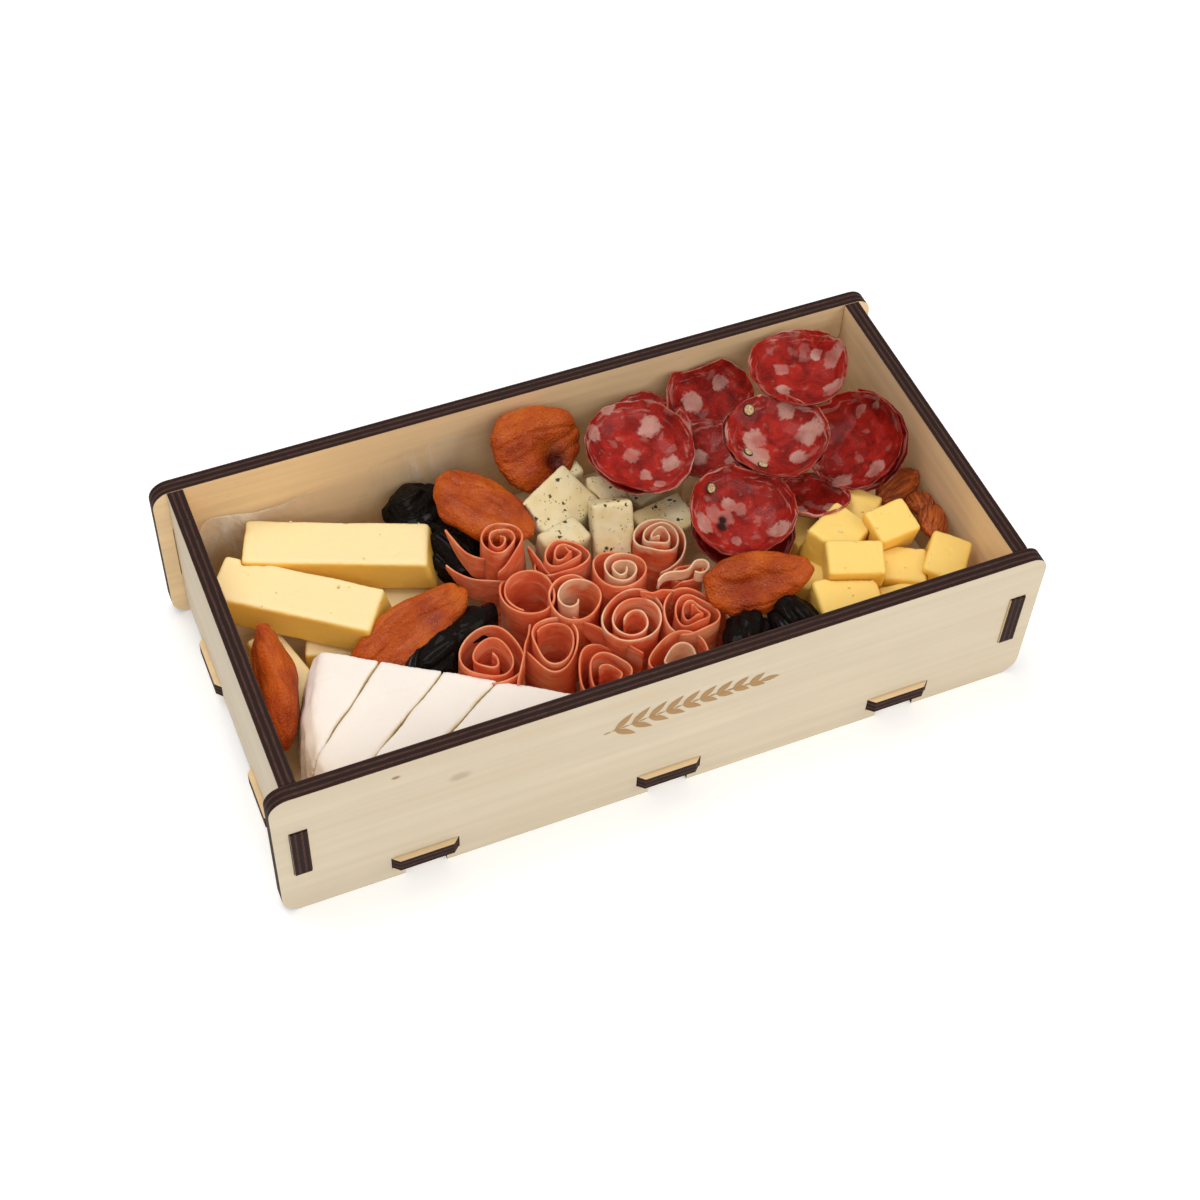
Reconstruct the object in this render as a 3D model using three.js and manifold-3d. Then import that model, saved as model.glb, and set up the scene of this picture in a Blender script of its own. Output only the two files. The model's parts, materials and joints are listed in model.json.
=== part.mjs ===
// A laser-cut plywood box filled with sliced meats, cheese, dried fruit and nuts.
// Millimetres, +Z up. The origin is under the middle of the box, on the surface it stands on.
// +X runs along the long front panel and +Y points from the front panel to the back panel.
import * as THREE from "three";
import { mergeVertices } from "three/addons/utils/BufferGeometryUtils.js";
import Module from "manifold-3d";

const wasm = await Module();
wasm.setup();

// ---------- driving dimensions of the box ----------
const LENGTH = 300; // front and back panels, along X
const WIDTH = 151; // over the outer faces of the front and back panels
const HEIGHT = 71;
const PLY = 6.2; // thickness of every plywood panel
const GAP = 0.3; // clearance between neighbouring pieces
const CORNER = 7.5; // corner radius of the front and back panels
const END_INSET = 6; // from the end of the front panel to the outer face of the end panel
const FLOOR_Z = 6.5; // underside of the base panel
const FLOOR_TOP = FLOOR_Z + PLY;
const END_TAB = { low: 23.7, high: 50.1, out: 0.7 }; // end panel tabs through the front and back panels
const BASE_TAB = { width: 25.4, tip: 20.6, out: 2.2, foot: 16 }; // base tabs, with chamfered tips
const FRONT_TABS = [-96, 0, 96]; // tab centres along X
const SIDE_TABS = [-32, 32]; // tab centres along Y
const INNER_X = LENGTH / 2 - END_INSET - PLY;
const INNER_Y = WIDTH / 2 - PLY;

// ---------- materials ----------
const finish = (color, roughness) => () =>
  new THREE.MeshStandardMaterial({ color, roughness, metalness: 0 });
const PLYWOOD = finish(0xdccdb0, 0.7);
const FILM = finish(0xe8e4da, 0.2);
const FIRM_CHEESE = finish(0xf0cf72, 0.5);
const BRIE = finish(0xf0ebe4, 0.8);
const HERB_CHEESE = finish(0xe9e3cd, 0.6);
const APRICOT = finish(0xc05a1c, 0.45);
const PRUNE = finish(0x17151a, 0.25);
const HAM = finish(0xcf7565, 0.45);
const SALAMI = finish(0x9c2a2c, 0.35);
const ALMOND = finish(0x8a4c26, 0.6);

// ---------- solids and booleans ----------
// A geometry as a manifold-3d solid: shared corners merged, collapsed triangles dropped.
function solid(geometry) {
  const bare = geometry.clone();
  bare.deleteAttribute("normal");
  bare.deleteAttribute("uv");
  const merged = mergeVertices(bare, 1e-3);
  const kept = [];
  const index = merged.index.array;
  for (let i = 0; i < index.length; i += 3) {
    const [a, b, c] = [index[i], index[i + 1], index[i + 2]];
    if (a !== b && b !== c && a !== c) kept.push(a, b, c);
  }
  return new wasm.Manifold(
    new wasm.Mesh({
      numProp: 3,
      vertProperties: new Float32Array(merged.attributes.position.array),
      triVerts: new Uint32Array(kept),
    }),
  );
}

function geometryOf(made) {
  const mesh = made.getMesh();
  return new THREE.BufferGeometry()
    .setAttribute("position", new THREE.BufferAttribute(mesh.vertProperties, 3))
    .setIndex(new THREE.BufferAttribute(mesh.triVerts, 1));
}

// Moves every vertex of a geometry by a function of its place.
function reshape(geometry, move) {
  const place = geometry.attributes.position;
  const v = new THREE.Vector3();
  for (let i = 0; i < place.count; i++) {
    v.fromBufferAttribute(place, i);
    move(v);
    place.setXYZ(i, v.x, v.y, v.z);
  }
  return geometry;
}

// Turns a shape drawn in X and Z into a panel of the plywood's thickness, centred on y.
const uprightPanel = (shape, y) =>
  new THREE.ExtrudeGeometry(shape, { depth: PLY, bevelEnabled: false, curveSegments: 4 })
    .rotateX(Math.PI / 2)
    .translate(0, y + PLY / 2, 0);

const block = (x, y, z, [cx, cy, cz]) => new THREE.BoxGeometry(x, y, z).translate(cx, cy, cz);

// ---------- the box ----------
function roundedOutline(width, height, radius) {
  const [x, r] = [width / 2, radius];
  const shape = new THREE.Shape();
  shape.moveTo(-x + r, 0);
  shape.lineTo(x - r, 0);
  shape.absarc(x - r, r, r, -Math.PI / 2, 0);
  shape.lineTo(x, height - r);
  shape.absarc(x - r, height - r, r, 0, Math.PI / 2);
  shape.lineTo(-x + r, height);
  shape.absarc(-x + r, height - r, r, Math.PI / 2, Math.PI);
  shape.lineTo(-x, r);
  shape.absarc(-x + r, r, r, Math.PI, 1.5 * Math.PI);
  return shape;
}

// A long panel: an upright slot near each end for an end panel's tab, and three slots for the
// base's tabs, each open to the bottom edge in its middle.
function longPanel(y) {
  let panel = solid(uprightPanel(roundedOutline(LENGTH, HEIGHT, CORNER), y));
  const deep = 2 * PLY;
  const endX = INNER_X + PLY / 2;
  const endHigh = END_TAB.high - END_TAB.low + 2 * GAP;
  for (const x of [-endX, endX]) {
    const middle = (END_TAB.high + END_TAB.low) / 2;
    panel = panel.subtract(solid(block(PLY + 2 * GAP, deep, endHigh, [x, y, middle])));
  }
  for (const x of FRONT_TABS) {
    const slot = block(BASE_TAB.width + 2 * GAP, deep, PLY + 2 * GAP, [x, y, FLOOR_Z + PLY / 2]);
    const foot = block(BASE_TAB.foot, deep, 2 * FLOOR_Z, [x, y, 0]);
    panel = panel.subtract(solid(slot)).subtract(solid(foot));
  }
  return geometryOf(panel);
}

// An end panel stands between the long panels, flush with their top edges and with the underside
// of the base. It is notched over the base's tabs.
function endPanel(side) {
  const x = side * (INNER_X + PLY / 2);
  const depth = 2 * (INNER_Y - GAP);
  let panel = solid(block(PLY, depth, HEIGHT - FLOOR_Z, [x, 0, (HEIGHT + FLOOR_Z) / 2]));
  const tabLength = WIDTH + 2 * END_TAB.out;
  const tabHigh = END_TAB.high - END_TAB.low;
  const tab = block(PLY, tabLength, tabHigh, [x, 0, (END_TAB.high + END_TAB.low) / 2]);
  panel = panel.add(solid(tab));
  for (const y of SIDE_TABS) {
    const high = 2 * (PLY + GAP);
    panel = panel.subtract(
      solid(block(2 * PLY, BASE_TAB.width + 2 * GAP, high, [x, y, FLOOR_Z])),
    );
  }
  return geometryOf(panel);
}

// One base tab, pointing along +X from the origin: straight for a panel's thickness, then chamfered.
function tabOutline(root, out) {
  const [w, tip] = [BASE_TAB.width / 2, BASE_TAB.tip / 2];
  return new THREE.Shape([
    new THREE.Vector2(-root, -w),
    new THREE.Vector2(PLY + GAP, -w),
    new THREE.Vector2(PLY + GAP + out, -tip),
    new THREE.Vector2(PLY + GAP + out, tip),
    new THREE.Vector2(PLY + GAP, w),
    new THREE.Vector2(-root, w),
  ]);
}

function basePanel() {
  const [x, y] = [INNER_X - GAP, INNER_Y - GAP];
  let base = solid(block(2 * x, 2 * y, PLY, [0, 0, FLOOR_Z + PLY / 2]));
  const tab = new THREE.ExtrudeGeometry(tabOutline(PLY, BASE_TAB.out), {
    depth: PLY,
    bevelEnabled: false,
  }).translate(0, 0, FLOOR_Z);
  for (const turn of [-1, 1]) {
    for (const at of FRONT_TABS) {
      const placed = tab.clone().rotateZ((turn * Math.PI) / 2).translate(at, turn * y, 0);
      base = base.add(solid(placed));
    }
    for (const at of SIDE_TABS) {
      const placed = tab.clone().rotateZ(turn > 0 ? 0 : Math.PI).translate(turn * x, at, 0);
      base = base.add(solid(placed));
    }
  }
  return geometryOf(base);
}

// The clear liner shows along the left wall and the left half of the back wall: a thin sheet
// that follows the two walls round their corner in shallow ripples.
const LINER = { off: 1.3, thick: 0.5, left: 50, right: 104, corner: 9, top: 47, rise: 13 };

function liner() {
  const { off, thick, left, right, corner, top, rise } = LINER;
  const [x0, y0] = [-INNER_X + off, INNER_Y - off];
  const path = new THREE.CurvePath();
  const a = new THREE.Vector2(x0, y0 - left);
  const b = new THREE.Vector2(x0, y0 - corner);
  const c = new THREE.Vector2(x0 + corner, y0);
  const d = new THREE.Vector2(x0 + right + corner, y0);
  path.add(new THREE.LineCurve(a, b));
  path.add(new THREE.QuadraticBezierCurve(b, new THREE.Vector2(x0, y0), c));
  path.add(new THREE.LineCurve(c, d));
  const steps = 22;
  const outline = [];
  for (const side of [0, 1]) {
    for (let i = 0; i <= steps; i++) {
      const u = (side ? steps - i : i) / steps;
      const at = path.getPointAt(u);
      const along = path.getTangentAt(u);
      const ripple = 0.35 * Math.sin(23 * u) + 0.25 * Math.sin(51 * u);
      const out = ripple + (side ? thick / 2 : -thick / 2);
      outline.push(new THREE.Vector2(at.x + along.y * out, at.y - along.x * out));
    }
  }
  const sheet = new THREE.ExtrudeGeometry(new THREE.Shape(outline), {
    depth: 1,
    bevelEnabled: false,
  });
  // The top edge climbs along the back wall and wavers.
  return reshape(sheet, (v) => {
    const s = (v.x - x0 + y0 - v.y) / (left + right);
    const edge = top + rise * s + 2.2 * Math.sin(9 * s) + 1.1 * Math.sin(21 * s);
    v.z = FLOOR_TOP + GAP + v.z * (edge - FLOOR_TOP);
  });
}

// ---------- food shapes, each about its own centre; grow thickens it all round ----------
// A cut block with soft edges; lean and skew shift its top along X and Y.
function cutBlock({ size, lean = 0, skew = 0, edge = 0.9 }, grow = 0) {
  const [x, y, z] = size.map((s) => s / 2 + grow);
  const e = edge;
  const outline = [
    [-x + e, -y], [x - e, -y], [x, -y + e], [x, y - e],
    [x - e, y], [-x + e, y], [-x, y - e], [-x, -y + e],
  ].map(([px, py]) => new THREE.Vector2(px, py));
  const made = new THREE.ExtrudeGeometry(new THREE.Shape(outline), {
    depth: 2 * (z - e),
    bevelThickness: e,
    bevelSize: e,
    bevelOffset: -e,
    bevelSegments: 1,
  }).translate(0, 0, -(z - e));
  return reshape(made, (v) => {
    const up = v.z / z;
    v.x += lean * up;
    v.y += skew * up;
  });
}

// A dried apricot: a flattened stone-fruit half, with its rim pulled up and a crease along it.
function apricot({ size, cup = 0.35, crease = 0.3 }, grow = 0) {
  const [x, y, z] = size.map((s) => s / 2 + grow);
  return reshape(new THREE.SphereGeometry(1, 12, 7).rotateX(Math.PI / 2), (v) => {
    const [ux, uy, uz] = [v.x, v.y, v.z];
    const flat = Math.hypot(ux, uy);
    const wave = 1 + 0.05 * Math.sin(3 * Math.atan2(uy, ux) + 0.7);
    v.x = ux * x * wave;
    v.y = uy * y * wave * (1 - 0.1 * ux);
    const dip = crease * Math.exp(-((uy / 0.28) ** 2)) * (uz > 0 ? 1 : 0.2) * (1 - flat * 0.5);
    v.z = z * (uz * (1 - dip) + cup * (flat * flat - 0.5) * 0.8);
  });
}

// A prune: a long drop with coarse lengthwise wrinkles.
function prune({ size, ridges = 5, depth = 0.1, twist = 0.6 }, grow = 0) {
  const [x, y, z] = size.map((s) => s / 2 + grow);
  return reshape(new THREE.SphereGeometry(1, 12, 6).rotateZ(Math.PI / 2), (v) => {
    const around = Math.atan2(v.z, v.y);
    const full = Math.hypot(v.y, v.z);
    const wrinkle = 1 + depth * full * Math.sin(ridges * around + twist * 3 * v.x);
    v.y *= y * wrinkle * (1 - 0.12 * v.x);
    v.z *= z * wrinkle * (1 - 0.12 * v.x);
    v.x *= x;
  });
}

// An almond: a flattened drop, pointed at one end.
function almond({ size }, grow = 0) {
  const [x, y, z] = size.map((s) => s / 2 + grow);
  return reshape(new THREE.SphereGeometry(1, 8, 7).rotateZ(Math.PI / 2), (v) => {
    const slim = v.x > 0 ? 1 - 0.5 * v.x ** 3 : 1;
    v.y *= y * slim;
    v.z *= z * slim;
    v.x *= x;
  });
}

// A round slice, cupped in the middle; saddle lifts two opposite sides, and fold turns one side up.
function roundSlice({ radius, thick, cup = 0, saddle = 0, fold = 0 }, grow = 0) {
  const [r, t] = [radius + grow, thick / 2 + grow];
  const profile = [
    [0, -t], [0.6 * r, -t], [r, -0.6 * t], [r, 0.6 * t], [0.6 * r, t], [0, t],
  ].map(([px, py]) => new THREE.Vector2(px, py));
  const disc = new THREE.LatheGeometry(profile, 16).rotateX(Math.PI / 2);
  return reshape(disc, (v) => {
    const [ux, uy] = [v.x / radius, v.y / radius];
    const out = Math.hypot(ux, uy);
    const angle = Math.atan2(uy, ux);
    const ruffle = 0.5 * Math.sin(5 * angle + radius) * out ** 3;
    const turned = fold * Math.max(0, ux - 0.35) ** 2;
    v.z += cup * out * out + saddle * (ux * ux - uy * uy) + ruffle + turned;
    v.x -= 0.35 * turned;
  });
}

const HAM_THICK = 1.5;
const TURN_STEPS = 9; // straight stretches of the band in one full turn

// A rolled slice of ham stands on end: one thin band wound inwards, wider at the top.
// tail lets the outer end of the band run off the roll in a lowering tip.
function hamRoll({ radius, high, turns, pitch = 3.1, flare = 0.12, oval = 1, tail = 0 }) {
  const count = Math.round(turns * TURN_STEPS);
  const tailSteps = tail ? 3 : 0;
  const centre = [];
  for (let i = -tailSteps; i <= count; i++) {
    const a = (2 * Math.PI * i) / TURN_STEPS;
    const inward = Math.max(0, (pitch * i) / TURN_STEPS);
    const r = radius - HAM_THICK / 2 - inward;
    const run = i < 0 ? (-i * tail) / tailSteps : 0;
    const at = i < 0 ? 0 : a;
    centre.push([r * Math.cos(at) + 0.25 * run, r * Math.sin(at) - run, run]);
  }
  const left = [];
  const right = [];
  centre.forEach(([x, y, run], i) => {
    const before = centre[Math.max(0, i - 1)];
    const after = centre[Math.min(centre.length - 1, i + 1)];
    const [dx, dy] = [after[0] - before[0], after[1] - before[1]];
    const k = HAM_THICK / 2 / Math.hypot(dx, dy);
    left.push([x + dy * k, y - dx * k, run]);
    right.push([x - dy * k, y + dx * k, run]);
  });
  const outline = [...left, ...right.reverse()];
  const band = new THREE.ExtrudeGeometry(
    new THREE.Shape(outline.map(([x, y]) => new THREE.Vector2(x, y))),
    { depth: 1, bevelEnabled: false },
  );
  return reshape(band, (v) => {
    const run = Math.max(0, -v.y - 0.2 * radius) * (v.x > 0.6 * radius ? 1 : 0);
    const wide = 1 + flare * (v.z - 0.5);
    const lower = tail ? Math.min(0.75, (0.8 * run) / tail) : 0;
    const rim = 1 + 0.05 * Math.sin(2 * Math.atan2(v.y, v.x) + radius);
    v.z = (v.z - 0.5) * high * (v.z > 0.5 ? rim - lower : 1);
    v.x *= wide;
    v.y *= wide * oval;
  });
}

// The space a ham roll keeps for itself: a filled cone whose flat sides touch the roll from outside.
const CORE_SIDES = 12;

function hamCore({ radius, high, flare = 0.12, oval = 1 }, grow = 0) {
  const around = 1 / Math.cos(Math.PI / CORE_SIDES);
  const low = (radius * (1 - flare / 2) + grow) * around;
  const top = (radius * (1 + flare / 2) + grow) * around;
  const tall = high + 2 * grow + 2;
  const cone = new THREE.CylinderGeometry(top, low, tall, CORE_SIDES).rotateX(Math.PI / 2);
  return reshape(cone, (v) => {
    v.y *= oval;
  });
}

// A piece's space with clearance all round, as a solid.
const spaceOf = (maker) => (item, matrix) => solid(maker(item, GAP).applyMatrix4(matrix));
// A ham roll's is its core, and where a tail runs off it, the roll shifted a little each way.
function hamSpace(item, matrix) {
  let space = spaceOf(hamCore)(item, matrix);
  if (!item.tail) return space;
  const roll = solid(hamRoll(item).applyMatrix4(matrix));
  for (const way of [-GAP, GAP]) {
    space = space.add(roll.translate([way, way, 0])).add(roll.translate([way, -way, 0]));
    space = space.add(roll.translate([0, 0, way]));
  }
  return space;
}

// ---------- the brie: a wedge of a round cheese, cut across into four ----------
const WHEEL = { tip: [-29, -52], radius: 102, high: 31, from: 147, to: 188.5 };
const BRIE_CUTS = [ // distance of each cut's back end from the corner, along the back edge, and its turn
  { along: 29, turn: 223 },
  { along: 53, turn: 216 },
  { along: 73, turn: 213 },
];

function brieSlices() {
  const { tip, radius, high, from, to } = WHEEL;
  const z = FLOOR_TOP + GAP;
  const profile = [
    [0, 0], [radius - 1, 0], [radius, 3], [radius - 1.5, 0.5 * high],
    [radius - 4, 0.82 * high], [radius - 7, 0.97 * high], [radius - 10, high], [0, high],
  ].map(([px, py]) => new THREE.Vector2(px, py));
  const wheel = new THREE.LatheGeometry(profile, 64).rotateX(Math.PI / 2);
  const reach = 1.2 * radius;
  const corner = (degrees) =>
    new THREE.Vector2(reach * Math.cos(rad(degrees)), reach * Math.sin(rad(degrees)));
  const wedge = new THREE.ExtrudeGeometry(
    new THREE.Shape([new THREE.Vector2(0, 0), corner(from), corner(to)]),
    { depth: 2 * high, bevelEnabled: false },
  ).translate(0, 0, -high / 2);
  const whole = solid(wheel).intersect(solid(wedge)).translate([tip[0], tip[1], z]);
  const back = [Math.cos(rad(from)), Math.sin(rad(from))];
  const start = [tip[0] + radius * back[0], tip[1] + radius * back[1]];
  // Everything on the far side of a cut, as a half space that starts half a gap from it.
  const beyond = ({ along, turn }, side) => {
    const at = [start[0] - back[0] * along, start[1] - back[1] * along];
    const size = 300;
    const half = new THREE.BoxGeometry(size, size, size)
      .translate(0, side * (size / 2 + GAP), 0)
      .rotateZ(rad(turn))
      .translate(at[0], at[1], 0);
    return solid(half);
  };
  const slices = [];
  let rest = whole;
  for (const cut of BRIE_CUTS) {
    slices.push(rest.intersect(beyond(cut, -1)));
    rest = rest.intersect(beyond(cut, 1));
  }
  slices.push(rest);
  return slices;
}

const rad = (degrees) => (degrees * Math.PI) / 180;

// ---------- where each piece lies ----------
// at is its centre; turn, pitch and roll are degrees about Z, then its own Y, then its own X.
const STICKS = [
  { name: "cheese_stick_1", at: [-86.5, 43.5, 39], turn: -22, size: [70, 21, 15.5], lean: -2 },
  { name: "cheese_stick_2", at: [-107.5, 26, 38], turn: -36, size: [63, 21, 15.5], lean: -2.5 },
  { name: "cheese_stick_3", at: [-119, 2, 21.3], turn: -76, size: [50, 13, 16] },
  { name: "cheese_stick_4", at: [-93, 12, 21.3], turn: -20, size: [36, 17, 16] },
];

const APRICOTS = [
  { name: "apricot_1", at: [-128.5, -5, 37], turn: -97, pitch: 22, roll: 78, size: [50, 28, 15.5] },
  { name: "apricot_2", at: [-75, -2, 39], turn: 17, pitch: -12, roll: 24, size: [54, 25, 16] },
  { name: "apricot_3", at: [-32, 35, 52], turn: -52, pitch: 6, roll: 8, size: [46, 26, 15] },
  { name: "apricot_4", at: [-3, 54, 57], turn: 8, pitch: 0, roll: 42, size: [39, 35, 15] },
  { name: "apricot_5", at: [50, -36.5, 55], turn: -8, pitch: -4, roll: 38, size: [45, 24, 14] },
];

const PRUNES = [
  { name: "prune_1", at: [-51, 56, 37], turn: 15, size: [29, 23, 20] },
  { name: "prune_2", at: [-45, 31, 35], turn: -60, pitch: 8, size: [36, 23, 21] },
  { name: "prune_3", at: [-62, -11, 37], turn: 18, pitch: -10, roll: 20, size: [50, 20, 18] },
  { name: "prune_4", at: [39, -53, 46], turn: 60, size: [26, 19, 19] },
  { name: "prune_5", at: [58, -54, 47], turn: 100, size: [27, 19, 20] },
];

const HERB_BLOCKS = [
  { name: "herb_cheese_1", at: [-3, 28, 44], turn: 28, pitch: -6, roll: 24, size: [27, 21, 17], skew: 3 },
  { name: "herb_cheese_2", at: [4, 47, 44], turn: 12, roll: 12, size: [16, 13, 14] },
  { name: "herb_cheese_3", at: [17, 29, 44], turn: -14, roll: 14, size: [15, 15, 15] },
  { name: "herb_cheese_4", at: [12, 11, 46], turn: -12, roll: 50, size: [16, 26, 12] },
  { name: "herb_cheese_5", at: [-7, 15, 43], turn: 16, roll: 10, size: [18, 12, 14] },
];

const CUBES = [
  { name: "cheese_cube_1", at: [89, -26, 50], turn: 32, pitch: 8, roll: 6, size: [22, 18, 16] },
  { name: "cheese_cube_2", at: [109, -30, 53], turn: 6, roll: 12, size: [18, 15, 15] },
  { name: "cheese_cube_3", at: [88, -42, 54], turn: -20, roll: 10, size: [22, 15, 14] },
  { name: "cheese_cube_4", at: [107, -46, 44], turn: -28, size: [19, 17, 16] },
  { name: "cheese_cube_5", at: [123, -50, 46], turn: 50, roll: 8, size: [21, 16, 17] },
  { name: "cheese_cube_6", at: [80, -53, 47], turn: -8, roll: 6, size: [24, 17, 16] },
  { name: "cheese_cube_7", at: [105, -13, 43], turn: 40, size: [18, 15, 14] },
];

const ALMONDS = [
  { name: "almond_1", at: [126, -8, 47], turn: 20, roll: 20, size: [24, 14, 9] },
  { name: "almond_2", at: [130, -18.5, 47], turn: 70, pitch: 30, size: [21, 12.5, 8.5] },
  { name: "almond_3", at: [129, -30, 50], turn: 62, pitch: 12, roll: 25, size: [23, 14, 9] },
];

const HAM_ROLLS = [
  { name: "ham_roll_1", at: [-32.5, 14.5, 34.5], turn: 60, radius: 9.5, high: 43, turns: 2.1, tail: 15 },
  { name: "ham_roll_2", at: [-11, 1.5, 34], turn: 20, radius: 10.5, high: 42, turns: 2.2, oval: 0.85 },
  { name: "ham_roll_3", at: [26, -4, 35], turn: 200, radius: 11, high: 43, turns: 2.3, flare: 0.05 },
  { name: "ham_roll_4", at: [6.5, -13.5, 34], turn: 120, radius: 11, high: 42, turns: 2.4, oval: 0.85 },
  { name: "ham_roll_5", at: [-30.5, -8, 32], turn: 150, radius: 10.5, high: 38, turns: 1.6, pitch: 2.4 },
  { name: "ham_roll_6", at: [-13.5, -17, 32.5], turn: 290, radius: 9.5, high: 39, turns: 2.5, pitch: 2.7 },
  { name: "ham_roll_7", at: [1.5, -33, 33], turn: 240, radius: 11.5, high: 40, turns: 1.8, pitch: 2.2 },
  { name: "ham_roll_8", at: [28, -22, 34], turn: 15, radius: 8.5, high: 41, turns: 1.6, oval: 0.65 },
  { name: "ham_roll_9", at: [24, -39.5, 34], turn: 80, radius: 11.5, high: 42, turns: 2.2, pitch: 2.8 },
  { name: "ham_roll_10", at: [-52, -25.5, 30], turn: 330, radius: 11.5, high: 34, turns: 1.9 },
  { name: "ham_roll_11", at: [-27, -30, 32], turn: 100, radius: 10.5, high: 38, turns: 1.6, pitch: 2.4 },
  { name: "ham_roll_12", at: [-14, -50, 31.5], turn: 30, radius: 12, high: 37, turns: 2, pitch: 2.6 },
  { name: "ham_roll_13", at: [11, -56, 33], turn: 200, radius: 12, high: 39, turns: 2.2, oval: 0.85 },
];

const SLICES = [
  { name: "salami_1", at: [32, 34, 60], turn: 20, roll: 11, radius: 23.5, cup: 3, fold: 9 },
  { name: "salami_2", at: [107, 44, 66], turn: 15, roll: -4, radius: 23.5, cup: 3.5, fold: 17 },
  { name: "salami_3", at: [83, 16.5, 63], turn: -30, roll: 2, radius: 22.5, cup: 5, fold: 7 },
  { name: "salami_4", at: [117, 9.5, 58], turn: 10, pitch: -40, radius: 22, cup: 4, fold: 8 },
  { name: "salami_5", at: [57, -8, 57], turn: -70, pitch: 10, roll: 6, radius: 22.5, cup: 5, fold: 7 },
  { name: "salami_6", at: [72, 56, 52], turn: -4, roll: 32, radius: 20, cup: 2, saddle: 2 },
  { name: "salami_7", at: [44, 49, 53], turn: 60, roll: 8, radius: 18, cup: 3 },
  { name: "salami_8", at: [61, 32, 50], turn: 120, pitch: 5, radius: 18, cup: 2 },
];

// ---------- putting it together ----------
const placement = ({ at, turn = 0, pitch = 0, roll = 0 }) =>
  new THREE.Matrix4().compose(
    new THREE.Vector3(...at),
    new THREE.Quaternion().setFromEuler(new THREE.Euler(rad(roll), rad(pitch), rad(turn), "ZYX")),
    new THREE.Vector3(1, 1, 1),
  );

const group = new THREE.Group();

function addMesh(name, geometry, material) {
  const mesh = new THREE.Mesh(geometry, material());
  mesh.name = name;
  group.add(mesh);
}

addMesh("front_panel", longPanel(-(INNER_Y + PLY / 2)), PLYWOOD);
addMesh("back_panel", longPanel(INNER_Y + PLY / 2), PLYWOOD);
addMesh("left_end_panel", endPanel(-1), PLYWOOD);
addMesh("right_end_panel", endPanel(1), PLYWOOD);
addMesh("base_panel", basePanel(), PLYWOOD);
addMesh("clear_liner", liner(), FILM);

// The food fits between the walls and over the base. Each piece also keeps clear of those placed
// before it, so pieces are placed in order, those that lie on top first.
const inside = solid(
  block(2 * (INNER_X - GAP), 2 * (INNER_Y - GAP), 200, [0, 0, FLOOR_TOP + GAP + 100]),
);
const placed = [];

const touches = (a, b) => {
  const [p, q] = [a.boundingBox(), b.boundingBox()];
  return p.min.every((low, i) => low < q.max[i]) && q.min.every((low, i) => low < p.max[i]);
};

function largestBody(made) {
  return made.decompose().reduce((best, body) => (body.volume() > best.volume() ? body : best));
}

function addFood(name, made, keepOut, material) {
  let left = made.intersect(inside);
  for (const other of placed) if (touches(left, other)) left = left.subtract(other);
  placed.push(keepOut);
  addMesh(name, geometryOf(largestBody(left)), material);
}

function addAll(list, maker, material, space = spaceOf(maker)) {
  for (const item of list) {
    const matrix = placement(item);
    const made = solid(maker(item).applyMatrix4(matrix));
    addFood(item.name, made, space(item, matrix), material);
  }
}

placed.push(solid(liner()));
addAll(SLICES.map((slice) => ({ thick: 2, ...slice })), roundSlice, SALAMI);
addAll(STICKS.slice(0, 2), cutBlock, FIRM_CHEESE);
brieSlices().forEach((slice, i) => addFood("brie_slice_" + (i + 1), slice, slice, BRIE));
addAll(ALMONDS, almond, ALMOND);
addAll(CUBES, cutBlock, FIRM_CHEESE);
addAll(APRICOTS, apricot, APRICOT);
addAll(HAM_ROLLS, hamRoll, HAM, hamSpace);
addAll(HERB_BLOCKS, cutBlock, HERB_CHEESE);
addAll(PRUNES, prune, PRUNE);
addAll(STICKS.slice(2), cutBlock, FIRM_CHEESE);

export default group;
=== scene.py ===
"""A laser-cut plywood box of sliced meats, cheese, dried fruit and nuts.

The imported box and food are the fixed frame. Each operator finishes one kind of food, or the box
itself, around that frame, and places come from the frame's own pieces. Settings and the features of
a finish are in metres; the operators' own sizes are in millimetres and are turned to metres by MM.
"""

import json
import math
import random

import bmesh
import bpy
import numpy as np
from bpy.props import FloatProperty, FloatVectorProperty, IntProperty, PointerProperty
from mathutils import Matrix, Vector, noise
from mathutils.bvhtree import BVHTree
from mathutils.kdtree import KDTree

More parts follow.
